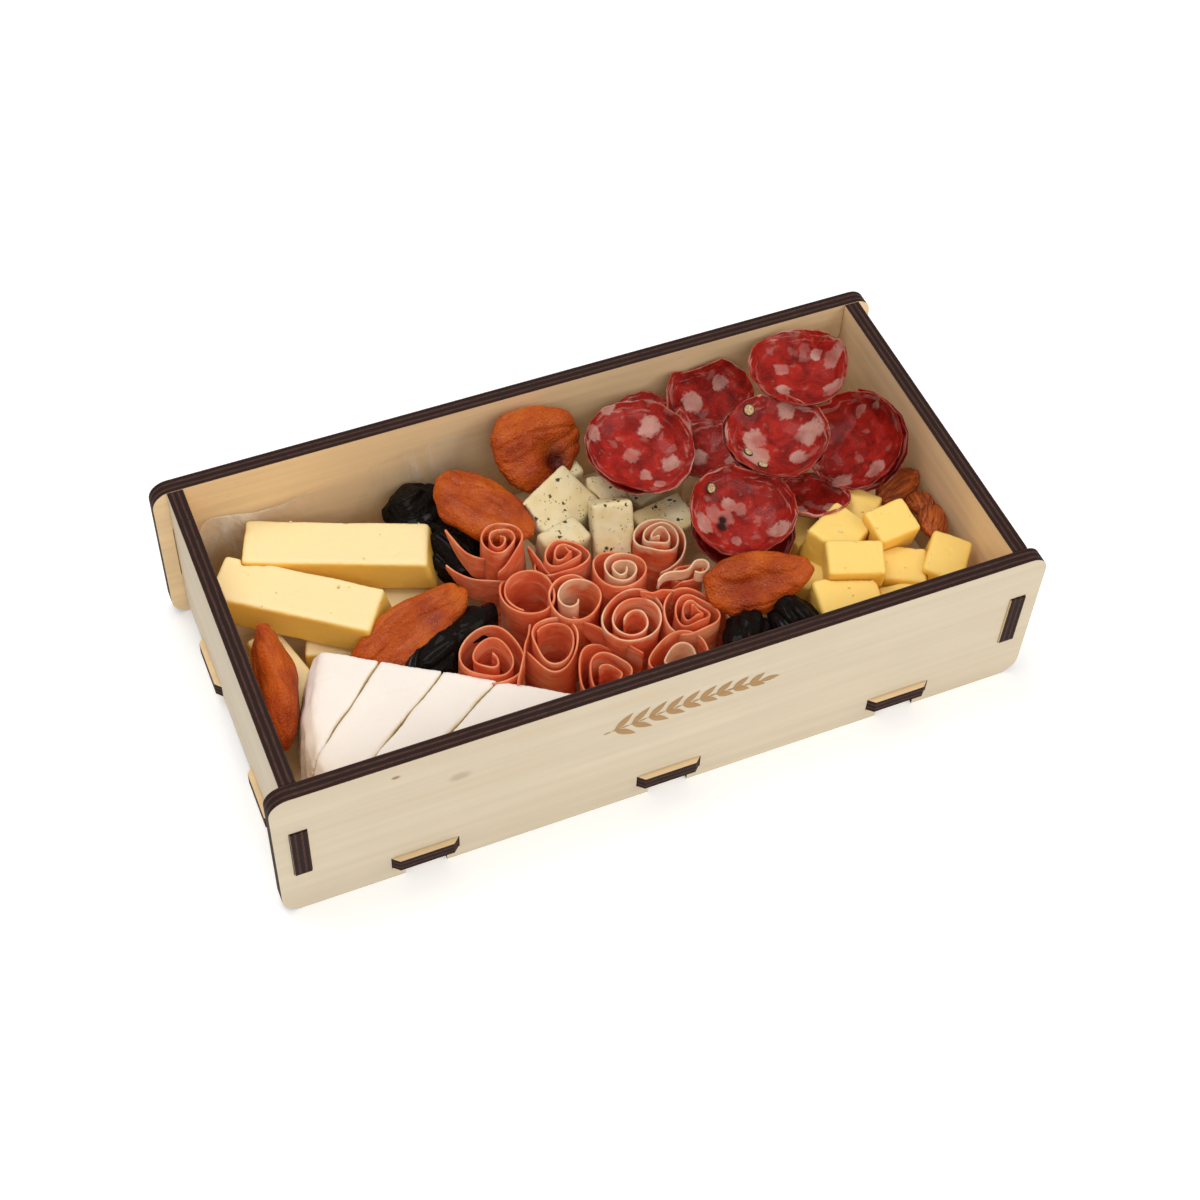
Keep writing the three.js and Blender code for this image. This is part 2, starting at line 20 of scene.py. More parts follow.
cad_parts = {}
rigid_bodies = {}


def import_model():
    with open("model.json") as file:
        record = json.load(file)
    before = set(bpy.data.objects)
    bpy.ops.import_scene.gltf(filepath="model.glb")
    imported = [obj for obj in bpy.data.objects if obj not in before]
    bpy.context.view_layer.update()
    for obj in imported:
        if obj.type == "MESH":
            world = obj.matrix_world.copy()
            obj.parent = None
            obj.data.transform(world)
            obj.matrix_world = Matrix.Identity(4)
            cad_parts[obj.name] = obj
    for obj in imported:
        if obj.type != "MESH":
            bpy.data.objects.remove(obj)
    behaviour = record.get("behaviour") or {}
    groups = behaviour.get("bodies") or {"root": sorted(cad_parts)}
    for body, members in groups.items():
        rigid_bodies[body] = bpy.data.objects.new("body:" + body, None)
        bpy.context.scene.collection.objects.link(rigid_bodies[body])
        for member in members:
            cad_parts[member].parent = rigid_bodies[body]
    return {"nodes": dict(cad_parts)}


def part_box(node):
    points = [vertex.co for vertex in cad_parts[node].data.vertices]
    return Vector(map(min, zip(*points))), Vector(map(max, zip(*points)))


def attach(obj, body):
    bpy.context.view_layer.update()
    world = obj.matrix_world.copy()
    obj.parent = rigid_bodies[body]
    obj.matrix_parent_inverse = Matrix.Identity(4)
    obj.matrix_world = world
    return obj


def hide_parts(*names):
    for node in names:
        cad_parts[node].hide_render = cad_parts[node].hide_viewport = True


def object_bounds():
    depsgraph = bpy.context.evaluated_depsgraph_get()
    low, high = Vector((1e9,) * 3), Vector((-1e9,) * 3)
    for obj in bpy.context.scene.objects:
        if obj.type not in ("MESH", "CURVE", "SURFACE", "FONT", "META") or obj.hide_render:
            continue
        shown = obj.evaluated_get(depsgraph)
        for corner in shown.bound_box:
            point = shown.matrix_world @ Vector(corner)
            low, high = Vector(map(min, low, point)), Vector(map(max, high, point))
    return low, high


bl_info = {
    "name": "Charcuterie Box",
    "version": (1, 0, 0),
    "blender": (4, 5, 0),
    "location": "View3D > Sidebar > Charcuterie",
    "description": "Finishes a plywood box of sliced meats, cheese, dried fruit and nuts",
    "category": "Add Mesh",
}

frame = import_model()
NODES = frame["nodes"]
CAD_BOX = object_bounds()
BODY = "root"
MM = 0.001

# Which way each panel's thickness runs, which way its grain runs, and where its inner face looks.
PANELS = {
    "front_panel": (1, 0, 1),
    "back_panel": (1, 0, -1),
    "left_end_panel": (0, 1, 1),
    "right_end_panel": (0, 1, -1),
    "base_panel": (2, 0, 1),
}
# Knots in a panel's veneer: place along x and z, radius, and how dark the knot is.
KNOTS = {"front_panel": [((-0.082, 0.052), 0.0021, 0.35), ((-0.105, 0.064), 0.0008, 0.9)]}


# ---------------------------------------------------------------- settings
def colour_property(name, description, default):
    return FloatVectorProperty(
        name=name, description=description, default=default, subtype="COLOR", size=3, min=0, max=1,
    )


class BoxSettings(bpy.types.PropertyGroup):
    """Finish of the plywood box, its engraving and its clear liner."""

    face: colour_property("Face", "Pale face veneer", (0.696, 0.592, 0.435))
    grain: colour_property("Grain", "Darker lines in the face veneer", (0.66, 0.52, 0.35))
    # The inside colour is painted warm bounce light on the same veneer as the outer face.
    inner_warm_bounce: colour_property("Inner face", "Warmer veneer inside the box", (0.93, 0.69, 0.40))
    charred: colour_property("Charred edge", "Edge burnt by the laser", (0.022, 0.010, 0.008))
    ply_line: colour_property(
        "Ply line", "Lighter layers that show along a burnt edge", (0.095, 0.042, 0.030)
    )
    engraving: colour_property(
        "Engraving", "Lightly burnt decoration on the front", (0.42, 0.25, 0.11)
    )
    liner_thickness: FloatProperty(
        name="Liner thickness", description="Thickness of the clear liner", unit="LENGTH",
        default=0.00012, min=0.00005, max=0.001,
    )


class FoodSettings(bpy.types.PropertyGroup):
    """Sizes and colours of the food."""

    skin: FloatProperty(
        name="Skin size", description="Spacing of the points on a food's surface", unit="LENGTH",
        default=0.0007, min=0.0004, max=0.003,
    )
    ham_thickness: FloatProperty(
        name="Ham thickness", description="Thickness of a slice of ham", unit="LENGTH",
        default=0.0008, min=0.0004, max=0.003,
    )
    firm_cheese: colour_property("Firm cheese", "Cut face of the firm cheese", (0.95, 0.60, 0.11))
    brie: colour_property("Brie rind", "White rind of the brie", (0.90, 0.835, 0.765))
    herb_cheese: colour_property("Herb cheese", "Body of the herb cheese", (0.72, 0.61, 0.38))
    apricot: colour_property("Apricot", "Dried apricot flesh", (0.45, 0.072, 0.004))
    prune: colour_property("Prune", "Prune skin", (0.006, 0.004, 0.003))
    ham: colour_property("Ham", "Lean part of the ham", (0.82, 0.175, 0.068))
    salami: colour_property("Salami", "Lean part of the salami", (0.30, 0.013, 0.008))
    salami_fat: colour_property("Salami fat", "Fat in the salami", (0.55, 0.29, 0.235))
    almond: colour_property("Almond", "Almond skin", (0.33, 0.062, 0.008))
    crumbs: IntProperty(
        name="Crumbs", description="Cheese crumbs on each stick and cube", default=7, min=0, max=60,
    )


class StageSettings(bpy.types.PropertyGroup):
    """Camera, floor and light."""

    lens: FloatProperty(
        name="Lens", description="Focal length", subtype="DISTANCE_CAMERA", default=63.29,
    )
    distance: FloatProperty(
        name="Distance", description="Camera to the point it looks at on the floor", unit="LENGTH",
        default=0.84845,
    )
    aim: FloatVectorProperty(
        name="Aim", description="Point on the floor that the camera looks at", size=3,
        subtype="TRANSLATION", default=(0.01036, 0.01515, 0.0),
    )
    heading: FloatProperty(
        name="Heading", description="Turn of the camera from straight ahead", subtype="ANGLE",
        default=math.radians(25.099),
    )
    look_down: FloatProperty(
        name="Look down", description="Angle of the camera below level", subtype="ANGLE",
        default=math.radians(52.156),
    )
    tilt: FloatProperty(
        name="Tilt", description="Roll of the camera", subtype="ANGLE",
        default=math.radians(3.171),
    )
    key_power: FloatProperty(
        name="Key light", description="Power of the large overhead light", unit="POWER",
        default=8.6,
    )
    fill_power: FloatProperty(
        name="Fill light", description="Power of the soft light from the right", unit="POWER",
        default=5.5,
    )
    front_power: FloatProperty(
        name="Front light", description="Power of the soft light from the front", unit="POWER",
        default=4.6,
    )
    sky: FloatProperty(name="Sky", description="Strength of the even light", default=0.36)
    floor: colour_property("Floor", "Pale floor", (0.94, 0.94, 0.94))


# ---------------------------------------------------------------- shader building
class Value:
    """A shader socket that takes part in Python arithmetic."""

    def __init__(self, finish, socket):
        self.finish = finish
        self.socket = socket

    def maths(self, operation, *values):
        return self.finish.node("ShaderNodeMath", {"operation": operation}, dict(enumerate(values)))

    def __add__(self, other):
        return self.maths("ADD", self, other)

    def __radd__(self, other):
        return self.maths("ADD", other, self)

    def __sub__(self, other):
        return self.maths("SUBTRACT", self, other)

    def __rsub__(self, other):
        return self.maths("SUBTRACT", other, self)

    def __mul__(self, other):
        return self.maths("MULTIPLY", self, other)

    def __rmul__(self, other):
        return self.maths("MULTIPLY", other, self)

    def __truediv__(self, other):
        return self.maths("DIVIDE", self, other)

    def __pow__(self, other):
        return self.maths("POWER", self, other)

    def __abs__(self):
        return self.maths("ABSOLUTE", self)

    def rise(self, low, high):
        """0 below low, 1 above high and smooth between; falls instead where low is above high."""
        up = low < high
        ends = {1: min(low, high), 2: max(low, high), 3: 0.0 if up else 1.0, 4: 1.0 if up else 0.0}
        made = {"interpolation_type": "SMOOTHSTEP"}
        return self.finish.node("ShaderNodeMapRange", made, {0: self, **ends})


class Finish:
    """A procedural material that is built node by node around one Principled shader."""

    def __init__(self, name, **constants):
        self.material = bpy.data.materials.new(name)
        self.material.use_nodes = True
        self.tree = self.material.node_tree
        self.shader = self.tree.nodes["Principled BSDF"]
        for socket, value in constants.items():
            self.shader.inputs[socket.replace("_", " ")].default_value = value
        self.place = self.node("ShaderNodeTexCoord", output="Object")

    def join(self, value, socket):
        if isinstance(value, Value):
            self.tree.links.new(value.socket, socket)
        elif socket.type == "RGBA" and len(value) == 3:
            socket.default_value = (*value, 1)
        else:
            socket.default_value = value

    def node(self, kind, settings=None, inputs=None, output=0):
        """Adds a node, sets its settings first and then its inputs, and returns one output.

        A ramp's stops are a setting too: each pairs a value with a colour.
        """
        made = self.tree.nodes.new(kind)
        settings = dict(settings or {})
        stops = settings.pop("stops", ())
        for name, value in settings.items():
            setattr(made, name, value)
        if stops:
            elements = made.color_ramp.elements
            while len(elements) < len(stops):
                elements.new(0.5)
            for element, (at, colour) in zip(elements, stops):
                element.position = at
                element.color = (*colour, 1)
        for key, value in (inputs or {}).items():
            self.join(value, made.inputs[key])
        return Value(self, made.outputs[output])

    def noise(self, size, detail=3.0, roughness=0.5, distortion=0.0, where=None):
        """Soft noise with features of about that size, from 0 to 1."""
        inputs = {
            "Vector": where or self.place, "Scale": 1 / size, "Detail": detail,
            "Roughness": roughness, "Distortion": distortion,
        }
        return self.node("ShaderNodeTexNoise", inputs=inputs)

    def cells(self, size, where=None):
        """How far a point lies from the middle of its cell, for cells of about that size."""
        inputs = {"Vector": where or self.place, "Scale": 1 / size}
        return self.node("ShaderNodeTexVoronoi", inputs=inputs, output="Distance")

    def stretched(self, scale, where=None, turn=(0, 0, 0), move=(0, 0, 0)):
        inputs = {"Vector": where or self.place, "Scale": scale, "Rotation": turn, "Location": move}
        return self.node("ShaderNodeMapping", inputs=inputs)

    def grain(self, scale, detail, roughness=0.5, distortion=0.0, where=None, turn=(0, 0, 0)):
        """Noise with its own number of features to the metre along each axis."""
        place = self.stretched(scale, where, turn)
        return self.noise(1.0, detail, roughness, distortion, place)

    def warped(self, size, amount):
        """The place, pushed about by noise, so that a pattern on it wanders."""
        inputs = {"Vector": self.place, "Scale": 1 / size, "Detail": 2.0}
        push = self.node("ShaderNodeTexNoise", inputs=inputs, output="Color")
        middle = self.vector_maths("SUBTRACT", {0: push, 1: (0.5, 0.5, 0.5)})
        grown = self.vector_maths("SCALE", {0: middle, "Scale": amount})
        return self.vector_maths("ADD", {0: self.place, 1: grown})

    def vector_maths(self, operation, inputs):
        return self.node("ShaderNodeVectorMath", {"operation": operation}, inputs)

    def axis(self, number, where=None):
        return self.node("ShaderNodeSeparateXYZ", inputs={0: where or self.place}, output=number)

    def normal_axis(self, number):
        normal = self.node("ShaderNodeTexCoord", output="Normal")
        return self.node("ShaderNodeSeparateXYZ", inputs={0: normal}, output=number)

    def stored(self, name, output="Fac"):
        return self.node("ShaderNodeAttribute", {"attribute_name": name}, output=output)

    def ramp(self, value, *stops):
        """A colour for each value, blended between the stops."""
        return self.node("ShaderNodeValToRGB", {"stops": stops}, {0: value})

    def mix(self, amount, first, second):
        inputs = {0: amount, 6: first, 7: second}
        return self.node("ShaderNodeMix", {"data_type": "RGBA"}, inputs, 2)

    def layered(self, colour, *layers):
        """A colour with others laid over it in turn, each given as its share and itself."""
        for share, over in layers:
            colour = self.mix(share, colour, over)
        return colour

    def bump(self, height, distance, strength=1.0):
        inputs = {"Height": height, "Distance": distance, "Strength": strength}
        return self.node("ShaderNodeBump", inputs=inputs)

    def set(self, **inputs):
        """Gives the shader its inputs and returns the finished material."""
        for name, value in inputs.items():
            self.join(value, self.shader.inputs[name.replace("_", " ")])
        return self.material


def tint(colour, *shares):
    """A colour made darker or lighter, by one share or by one for each channel."""
    shares = shares if len(shares) == 3 else shares * 3
    return tuple(min(1.0, channel * share) for channel, share in zip(colour, shares))


# ---------------------------------------------------------------- finishes
def plywood_finish(settings, panel):
    """Pale face veneer with fine grain; every edge is burnt, with lighter ply lines along it."""
    across, along, inward = PANELS[panel]
    low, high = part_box(panel)
    finish = Finish("Plywood " + panel, Specular_IOR_Level=0.2)

    def lengthwise(fine, coarse, *noise):
        scale = [fine] * 3
        scale[along] = coarse
        return finish.grain(scale, *noise)

    lines = lengthwise(260.0, 9.0, 4.0, 0.6)
    bands = lengthwise(60.0, 3.0, 2.0, 0.5, 0.4)
    flecks = lengthwise(900.0, 160.0, 1.0)
    mottle = finish.noise(0.03, 3.0)
    # Faces that look into the box take the warmer inside colour: painted warm bounce light.
    inside = (finish.normal_axis(across) * inward).rise(0.3, 0.7)
    shade = 0.5 * lines + 0.3 * bands + 0.2 * mottle
    veneer = finish.ramp(
        shade,
        (0.30, settings.grain),
        (0.46, tint(settings.face, 0.93)),
        (0.60, settings.face),
        (0.75, tint(settings.face, 1.06)),
    )
    deep = tint(settings.inner_warm_bounce, 0.82)
    warm = finish.mix(shade.rise(0.3, 0.65), deep, settings.inner_warm_bounce)
    veneer = finish.layered(
        veneer, (inside, warm), (flecks.rise(0.70, 0.80) * 0.35, settings.grain)
    )
    for centre, radius, depth in KNOTS.get(panel, ()):
        veneer = knot(finish, veneer, centre, radius, depth)
    ragged = (lengthwise(900.0, 120.0, 3.0, 0.7) - 0.5) * 0.16
    thick = (finish.axis(across) - low[across]) / (high[across] - low[across]) + ragged
    char, line = settings.charred, settings.ply_line
    layers = finish.ramp(
        thick,
        (0.0, line), (0.07, char), (0.20, char), (0.30, line), (0.40, char), (0.58, char),
        (0.68, line), (0.78, char), (0.93, char), (1.0, line),
    )
    smoke = finish.noise(0.0016, 4.0, 0.7)
    layers = finish.mix(smoke.rise(0.35, 0.75) * 0.6, layers, char)
    edge = abs(finish.normal_axis(across)).rise(0.72, 0.55)
    colour = finish.mix(edge, veneer, layers)
    bump = finish.bump(lines * 0.6 + flecks * 0.2 + edge * smoke, 0.00012)
    return finish.set(Base_Color=colour, Roughness=0.62 + edge * 0.2, Normal=bump)


def knot(finish, veneer, centre, radius, depth):
    """A small brown knot in the veneer, at that x and z."""
    x = finish.axis(0, finish.warped(0.004, 0.0012)) - centre[0]
    z = finish.axis(2, finish.warped(0.003, 0.0012)) - centre[1]
    away = (x * x * 0.35 + z * z) ** 0.5
    brown = (0.28, 0.15, 0.07)
    return finish.mix(away.rise(radius * 1.6, radius * 0.4) * depth, veneer, brown)


def engraving_finish(settings):
    finish = Finish("Engraved wood", Specular_IOR_Level=0.15)
    lines = finish.grain((60.0, 900.0, 900.0), 3.0)
    colour = finish.mix(lines, tint(settings.engraving, 0.75), tint(settings.engraving, 1.25))
    return finish.set(Base_Color=colour, Roughness=lines * 0.2 + 0.6)


def liner_finish():
    """Clear wrinkled film: hardly there where it lies flat, whitish along its creases, partly from
    the film's own clouding and partly as a painted highlight.
    """
    finish = Finish("Clear film", Specular_IOR_Level=0.5)
    soft = finish.noise(0.030, 3.0, 0.55, 1.2, where=finish.stretched((1.0, 1.0, 0.5)))
    haze_and_sheen = soft.rise(0.42, 0.72)
    alpha = (0.08 + haze_and_sheen * 0.42) * finish.stored("fade")
    bump = finish.bump(soft, 0.006, 0.8)
    # The whitish colour is partly the film's own clouding and partly a painted highlight.
    clear, milky_sheen = (0.90, 0.76, 0.56), (1.0, 0.95, 0.86)
    colour = finish.mix(haze_and_sheen, clear, milky_sheen)
    return finish.set(Base_Color=colour, Roughness=0.14 + haze_and_sheen * 0.1, Alpha=alpha, Normal=bump)


def firm_cheese_finish(settings, name, paler):
    """Smooth waxy cheese with faint knife drag and a few small pit marks; upward faces painted paler
    and sides deeper as painted light, the pit marks darkened with painted shade.
    """
    body = settings.firm_cheese
    finish = Finish(
        name, Subsurface_Weight=0.3, Subsurface_Radius=(1.0, 0.55, 0.15), Subsurface_Scale=0.004,
        Specular_IOR_Level=0.3,
    )
    cloud = finish.noise(0.016, 4.0, 0.55)
    fine = finish.noise(0.0014, 3.0, 0.6)
    drag = finish.grain((90.0, 90.0, 700.0), 3.0, 0.6)
    # Upward faces get a paler colour than the sides: painted light from above.
    up = finish.normal_axis(2).rise(0.35, 0.9)
    top = tint(body, 0.98, 1.17 * paler, 2.6 * paler ** 5)
    # Small pit marks, darkened with painted shade in the tone below.
    shaded_pits = finish.cells(0.0042, where=finish.warped(0.003, 0.0012)).rise(0.16, 0.07)
    shaded_pits = shaded_pits * finish.noise(0.009, 1.0).rise(0.58, 0.66)
    tone = finish.layered(
        tint(body, 0.94),
        (cloud.rise(0.3, 0.7), body),
        (up * 0.9, top),
        (shaded_pits * 0.45, tint(body, 0.62)),
    )
    bump = finish.bump(fine * 0.35 + drag * 0.4 - shaded_pits * 1.4, 0.00022, 0.7)
    return finish.set(Base_Color=tone, Roughness=0.40 + fine * 0.16, Normal=bump)


def brie_finish(settings):
    """Floury white rind with faint long scratches; the wheel's side is mottled beige."""
    white = settings.brie
    finish = Finish(
        "Brie rind", Subsurface_Weight=0.15, Subsurface_Radius=(1.0, 0.8, 0.6),
        Subsurface_Scale=0.002, Specular_IOR_Level=0.2,
    )
    cloud = finish.noise(0.02, 4.0, 0.6)
    flour = finish.noise(0.0011, 3.0, 0.7)
    blotch = finish.noise(0.0042, 4.0, 0.7, 0.8)
    side = finish.normal_axis(2).rise(0.55, 0.15)
    outer = finish.stored("rind")
    beige = tint(white, 0.80, 0.70, 0.58)
    paste = (0.86, 0.73, 0.46)
    scratch = finish.grain((30.0, 420.0, 30.0), 2.0, turn=(0, 0, 0.5))
    tone = finish.layered(
        white,
        (cloud.rise(0.35, 0.75) * 0.5, tint(white, 0.93)),
        (side * outer * blotch.rise(0.42, 0.62) * 0.75, beige),
        (side * (1 - outer), paste),
        (scratch.rise(0.66, 0.74) * 0.14, tint(white, 0.8)),
    )
    height = flour * 0.5 + blotch * side * 1.5 + cloud * 0.5
    return finish.set(
        Base_Color=tone, Roughness=0.78 + flour * 0.12, Normal=finish.bump(height, 0.0004, 0.7)
    )


def herb_cheese_finish(settings):
    """Cream cheese block with peppery specks, denser in cloudy grey patches."""
    body = settings.herb_cheese
    finish = Finish(
        "Herb cheese", Subsurface_Weight=0.25, Subsurface_Radius=(1.0, 0.8, 0.5),
        Subsurface_Scale=0.003, Specular_IOR_Level=0.35,
    )
    cloud = finish.noise(0.011, 3.0, 0.55)
    pale = finish.noise(0.02, 2.0, where=finish.stretched((1, 1, 1), move=(0.05, 0.02, 0)))
    wander = finish.warped(0.0015, 0.0016)
    chance = finish.noise(0.0062, 2.0, 0.6)
    large = finish.cells(0.0031, where=wander).rise(0.30, 0.20) * chance.rise(0.53, 0.57)
    small = finish.cells(0.0014, where=wander).rise(0.26, 0.16)
    small = small * finish.noise(0.0042, 1.0).rise(0.53, 0.58)
    cluster = finish.noise(0.0010, 4.0, 0.7).rise(0.60, 0.66) * chance.rise(0.62, 0.70)
    specks = large.maths("MAXIMUM", large, cluster)
    patch = finish.noise(0.007, 3.0, 0.6).rise(0.60, 0.72)
    grey, herb, pepper = (0.34, 0.33, 0.26), (0.035, 0.030, 0.018), (0.014, 0.012, 0.010)
    tone = finish.layered(
        tint(body, 0.92, 0.84, 0.66),
        (cloud.rise(0.35, 0.65), body),
        (pale.rise(0.45, 0.62) * 0.5, tint(body, 1.12)),
        (patch * 0.22, grey),
        (small * 0.8, herb),
        (specks * 0.95, pepper),
    )
    fine = finish.noise(0.0011, 3.0, 0.6)
    bump = finish.bump(fine * 0.6 + specks * 0.8, 0.0003, 0.7)
    return finish.set(Base_Color=tone, Roughness=0.5 + fine * 0.15, Normal=bump)


def apricot_finish(settings):
    """Leathery orange flesh with a fine sugary grain, painted glints on the grain, and painted shade
    in its folds and its pressed dent.
    """
    body = settings.apricot
    finish = Finish(
        "Dried apricot", Subsurface_Weight=0.3, Subsurface_Radius=(1.0, 0.25, 0.05),
        Subsurface_Scale=0.005, Specular_IOR_Level=0.18, Coat_Roughness=0.22,
    )
    lay = finish.stored("lay", "Vector")
    wrinkle = finish.grain((130.0, 420.0, 420.0), 4.0, 0.6, 0.5, where=lay)
    cloud = finish.noise(0.015, 3.0, 0.55)
    grain = finish.cells(0.0009, where=finish.warped(0.002, 0.0008))
    # Sugary grain: it adds real coat gloss, and an amber painted glint in the tone.
    sugar_and_glint = finish.cells(0.0011, where=finish.warped(0.003, 0.001)).rise(0.20, 0.10)
    tone = finish.ramp(
        cloud,
        (0.30, tint(body, 0.66, 0.46, 0.7)),
        (0.50, body),
        (0.68, tint(body, 1.18, 1.5, 1.6)),
    )
    amber_glint = (0.85, 0.32, 0.06)
    tone = finish.layered(
        tone,
        # Darker in the creases of the wrinkles: painted shade.
        (wrinkle.rise(0.48, 0.32) * 0.35, tint(body, 0.55, 0.35, 1.25)),
        (sugar_and_glint * 0.16, amber_glint),
        # Darker in the pressed dent: painted shade.
        (finish.stored("hollow"), tint(body, 0.22, 0.12, 0.4)),
    )
    bump = finish.bump(wrinkle * 0.9 + grain * 0.6, 0.0009, 0.85)
    return finish.set(
        Base_Color=tone, Roughness=0.36 + grain * 0.2, Coat_Weight=0.10 + sugar_and_glint * 0.8, Normal=bump
    )


def prune_finish(settings):
    """Near-black glossy skin with fine wrinkles and small glints."""
    body = settings.prune
    finish = Finish("Prune", Specular_IOR_Level=0.05, Coat_Roughness=0.08)
    lay = finish.stored("lay", "Vector")
    wrinkle = finish.grain((90.0, 300.0, 300.0), 4.0, 0.6, 0.9, where=lay)
    fine = finish.cells(0.0012, where=finish.warped(0.002, 0.001))
    bloom = finish.noise(0.011, 3.0, 0.6).rise(0.55, 0.8)
    dusty = (0.011, 0.009, 0.009)
    tone = finish.mix(bloom, body, dusty)
    bump = finish.bump(wrinkle * 1.4 + fine * 0.5, 0.0014, 0.85)
    return finish.set(
        Base_Color=tone, Roughness=0.34 + fine * 0.2, Coat_Weight=0.10 + bloom * 0.45, Normal=bump
    )


def ham_finish(settings):
    """Thin cured ham: moist coral lean, cream fat along the rim and in streaks."""
    lean = settings.ham
    finish = Finish(
        "Cured ham", Subsurface_Weight=0.5, Subsurface_Radius=(1.0, 0.30, 0.15),
        Subsurface_Scale=0.0035, Specular_IOR_Level=0.25, Coat_Roughness=0.18, Coat_Weight=0.16,
    )
    lay = finish.stored("lay", "Vector")
    cloud = finish.noise(0.008, 4.0, 0.6)
    fibre = finish.grain((110.0, 620.0, 620.0), 4.0, 0.65, 0.6, where=lay)
    broad = finish.grain((45.0, 160.0, 160.0), 3.0, 0.55, 0.9, where=lay)
    tone = finish.ramp(
        cloud * 0.4 + fibre * 0.25 + broad * 0.35,
        (0.34, tint(lean, 0.74, 0.50, 0.48)),
        (0.48, lean),
        (0.60, tint(lean, 1.12, 1.65, 1.9)),
    )
    wander = finish.noise(0.010, 2.0, 0.5)
    fat = (finish.stored("fat") + (wander - 0.5) * 0.7).rise(0.42, 0.66)
    fat_colour = finish.mix(cloud, (0.86, 0.50, 0.30), (0.94, 0.72, 0.50))
    marbling, thin_edge = (0.90, 0.42, 0.25), (0.80, 0.34, 0.18)
    tone = finish.layered(
        tone,
        (broad.rise(0.52, 0.66) * 0.6, marbling),
        (fat * 0.92, fat_colour),
        (finish.stored("rim") * 0.55 * wander, thin_edge),
    )
    bump = finish.bump(fibre * 0.8 + broad * 0.8 + cloud * 0.3, 0.0007, 0.75)
    return finish.set(Base_Color=tone, Roughness=0.34 + fibre * 0.18, Normal=bump)


def salami_finish(settings):
    """Coarse salami: dark red lean marbled with soft fat, a thin pale rim and an oily gloss."""
    lean = settings.salami
    fat_colour = settings.salami_fat
    finish = Finish(
        "Salami", Subsurface_Weight=0.2, Subsurface_Radius=(1.0, 0.22, 0.18),
        Subsurface_Scale=0.002, Specular_IOR_Level=0.10, Coat_Roughness=0.10, Coat_Weight=0.12,
    )
    ring = finish.stored("ring", "Vector")
    cloud = finish.noise(0.007, 4.0, 0.62, 0.8)
    tone = finish.ramp(
        cloud,
        (0.34, tint(lean, 0.55, 0.55, 0.6)),
        (0.50, lean),
        (0.62, tint(lean, 1.3, 1.4, 1.4)),
        (0.74, tint(lean, 1.5, 3.2, 3.4)),
    )
    wander = finish.warped(0.004, 0.005)
    chance = finish.noise(0.0105, 2.0, 0.5)
    blobs = finish.cells(0.0070, where=wander).rise(0.42, 0.26) * chance.rise(0.50, 0.58)
    fleck = finish.cells(0.0030, where=wander).rise(0.32, 0.16)
    fleck = fleck * finish.noise(0.006, 1.0).rise(0.53, 0.62)
    streak = finish.grain((70.0, 520.0, 300.0), 4.0, 0.6, 0.8, where=ring)
    ragged = (finish.noise(0.0034, 3.0, 0.65) - 0.5) * 0.9
    spots = (finish.stored("fat") + ragged).rise(0.30, 0.50)
    faint = finish.noise(0.012, 2.0, where=finish.stretched((1, 1, 1), move=(0.03, 0.01, 0)))
    paler = finish.mix(cloud, tint(fat_colour, 0.75), tint(fat_colour, 1.2))
    edge = finish.stored("rim")
    near_rim = edge.rise(7.0, 1.5)
    thin = (edge + (finish.noise(0.002, 2.0) - 0.5) * 0.8).rise(0.9, 0.3)
    shadow, casing = (0.03, 0.006, 0.005), (0.62, 0.22, 0.13)
    tone = finish.layered(
        tone,
        (fleck * 0.22, paler),
        (blobs * 0.25, paler),
        (streak.rise(0.52, 0.62) * near_rim * 0.75, tint(fat_colour, 1.1)),
        (streak.rise(0.44, 0.30) * near_rim * 0.6, tint(lean, 0.9)),
        (spots * (0.45 + 0.7 * faint.rise(0.35, 0.65)) * 0.82, paler),
        (finish.stored("slit"), shadow),
        (thin * 0.7, casing),
    )
    height = cloud * 0.8 + spots * 0.3 + blobs * 0.2 + streak * 0.6 * near_rim
    bump = finish.bump(height + finish.noise(0.0009, 2.0) * 0.25, 0.0010, 0.85)
    return finish.set(Base_Color=tone, Roughness=0.34 + cloud * 0.16, Normal=bump)


def almond_finish(settings):
    """Brown papery skin with lengthwise grooves."""
    skin = settings.almond
    finish = Finish("Almond skin", Specular_IOR_Level=0.3)
    lay = finish.stored("lay", "Vector")
    groove = finish.grain((70.0, 900.0, 900.0), 3.0, 0.6, 0.3, where=lay)
    fine = finish.noise(0.001, 3.0, 0.7)
    tone = finish.ramp(
        groove,
        (0.36, tint(skin, 0.45)), (0.5, skin), (0.64, tint(skin, 1.5, 1.8, 2.0)),
    )
    bump = finish.bump(groove * 1.4 + fine * 0.3, 0.0005, 0.9)
    return finish.set(Base_Color=tone, Roughness=0.55 + fine * 0.2, Normal=bump)


def pepper_finish():
    """A cut peppercorn: beige inside, a dark wrinkled shell round it."""
    finish = Finish("Peppercorn", Specular_IOR_Level=0.3)
    core = finish.stored("core")
    crack = finish.noise(0.0008, 3.0, 0.7)
    inside = finish.mix(crack.rise(0.35, 0.7), (0.36, 0.20, 0.08), (0.80, 0.62, 0.36))
    shell = (0.035, 0.018, 0.010)
    colour = finish.mix(core, shell, inside)
    bump = finish.bump(crack, 0.0004)
    return finish.set(Base_Color=colour, Roughness=0.55 + crack * 0.2, Normal=bump)


def floor_finish(settings):
    finish = Finish("Pale floor", Specular_IOR_Level=0.1, Emission_Strength=0.26)
    cloud = finish.noise(0.6, 2.0)
    colour = finish.mix(cloud, tint(settings.floor, 0.995), settings.floor)
    return finish.set(Base_Color=colour, Emission_Color=colour, Roughness=cloud * 0.02 + 0.9)


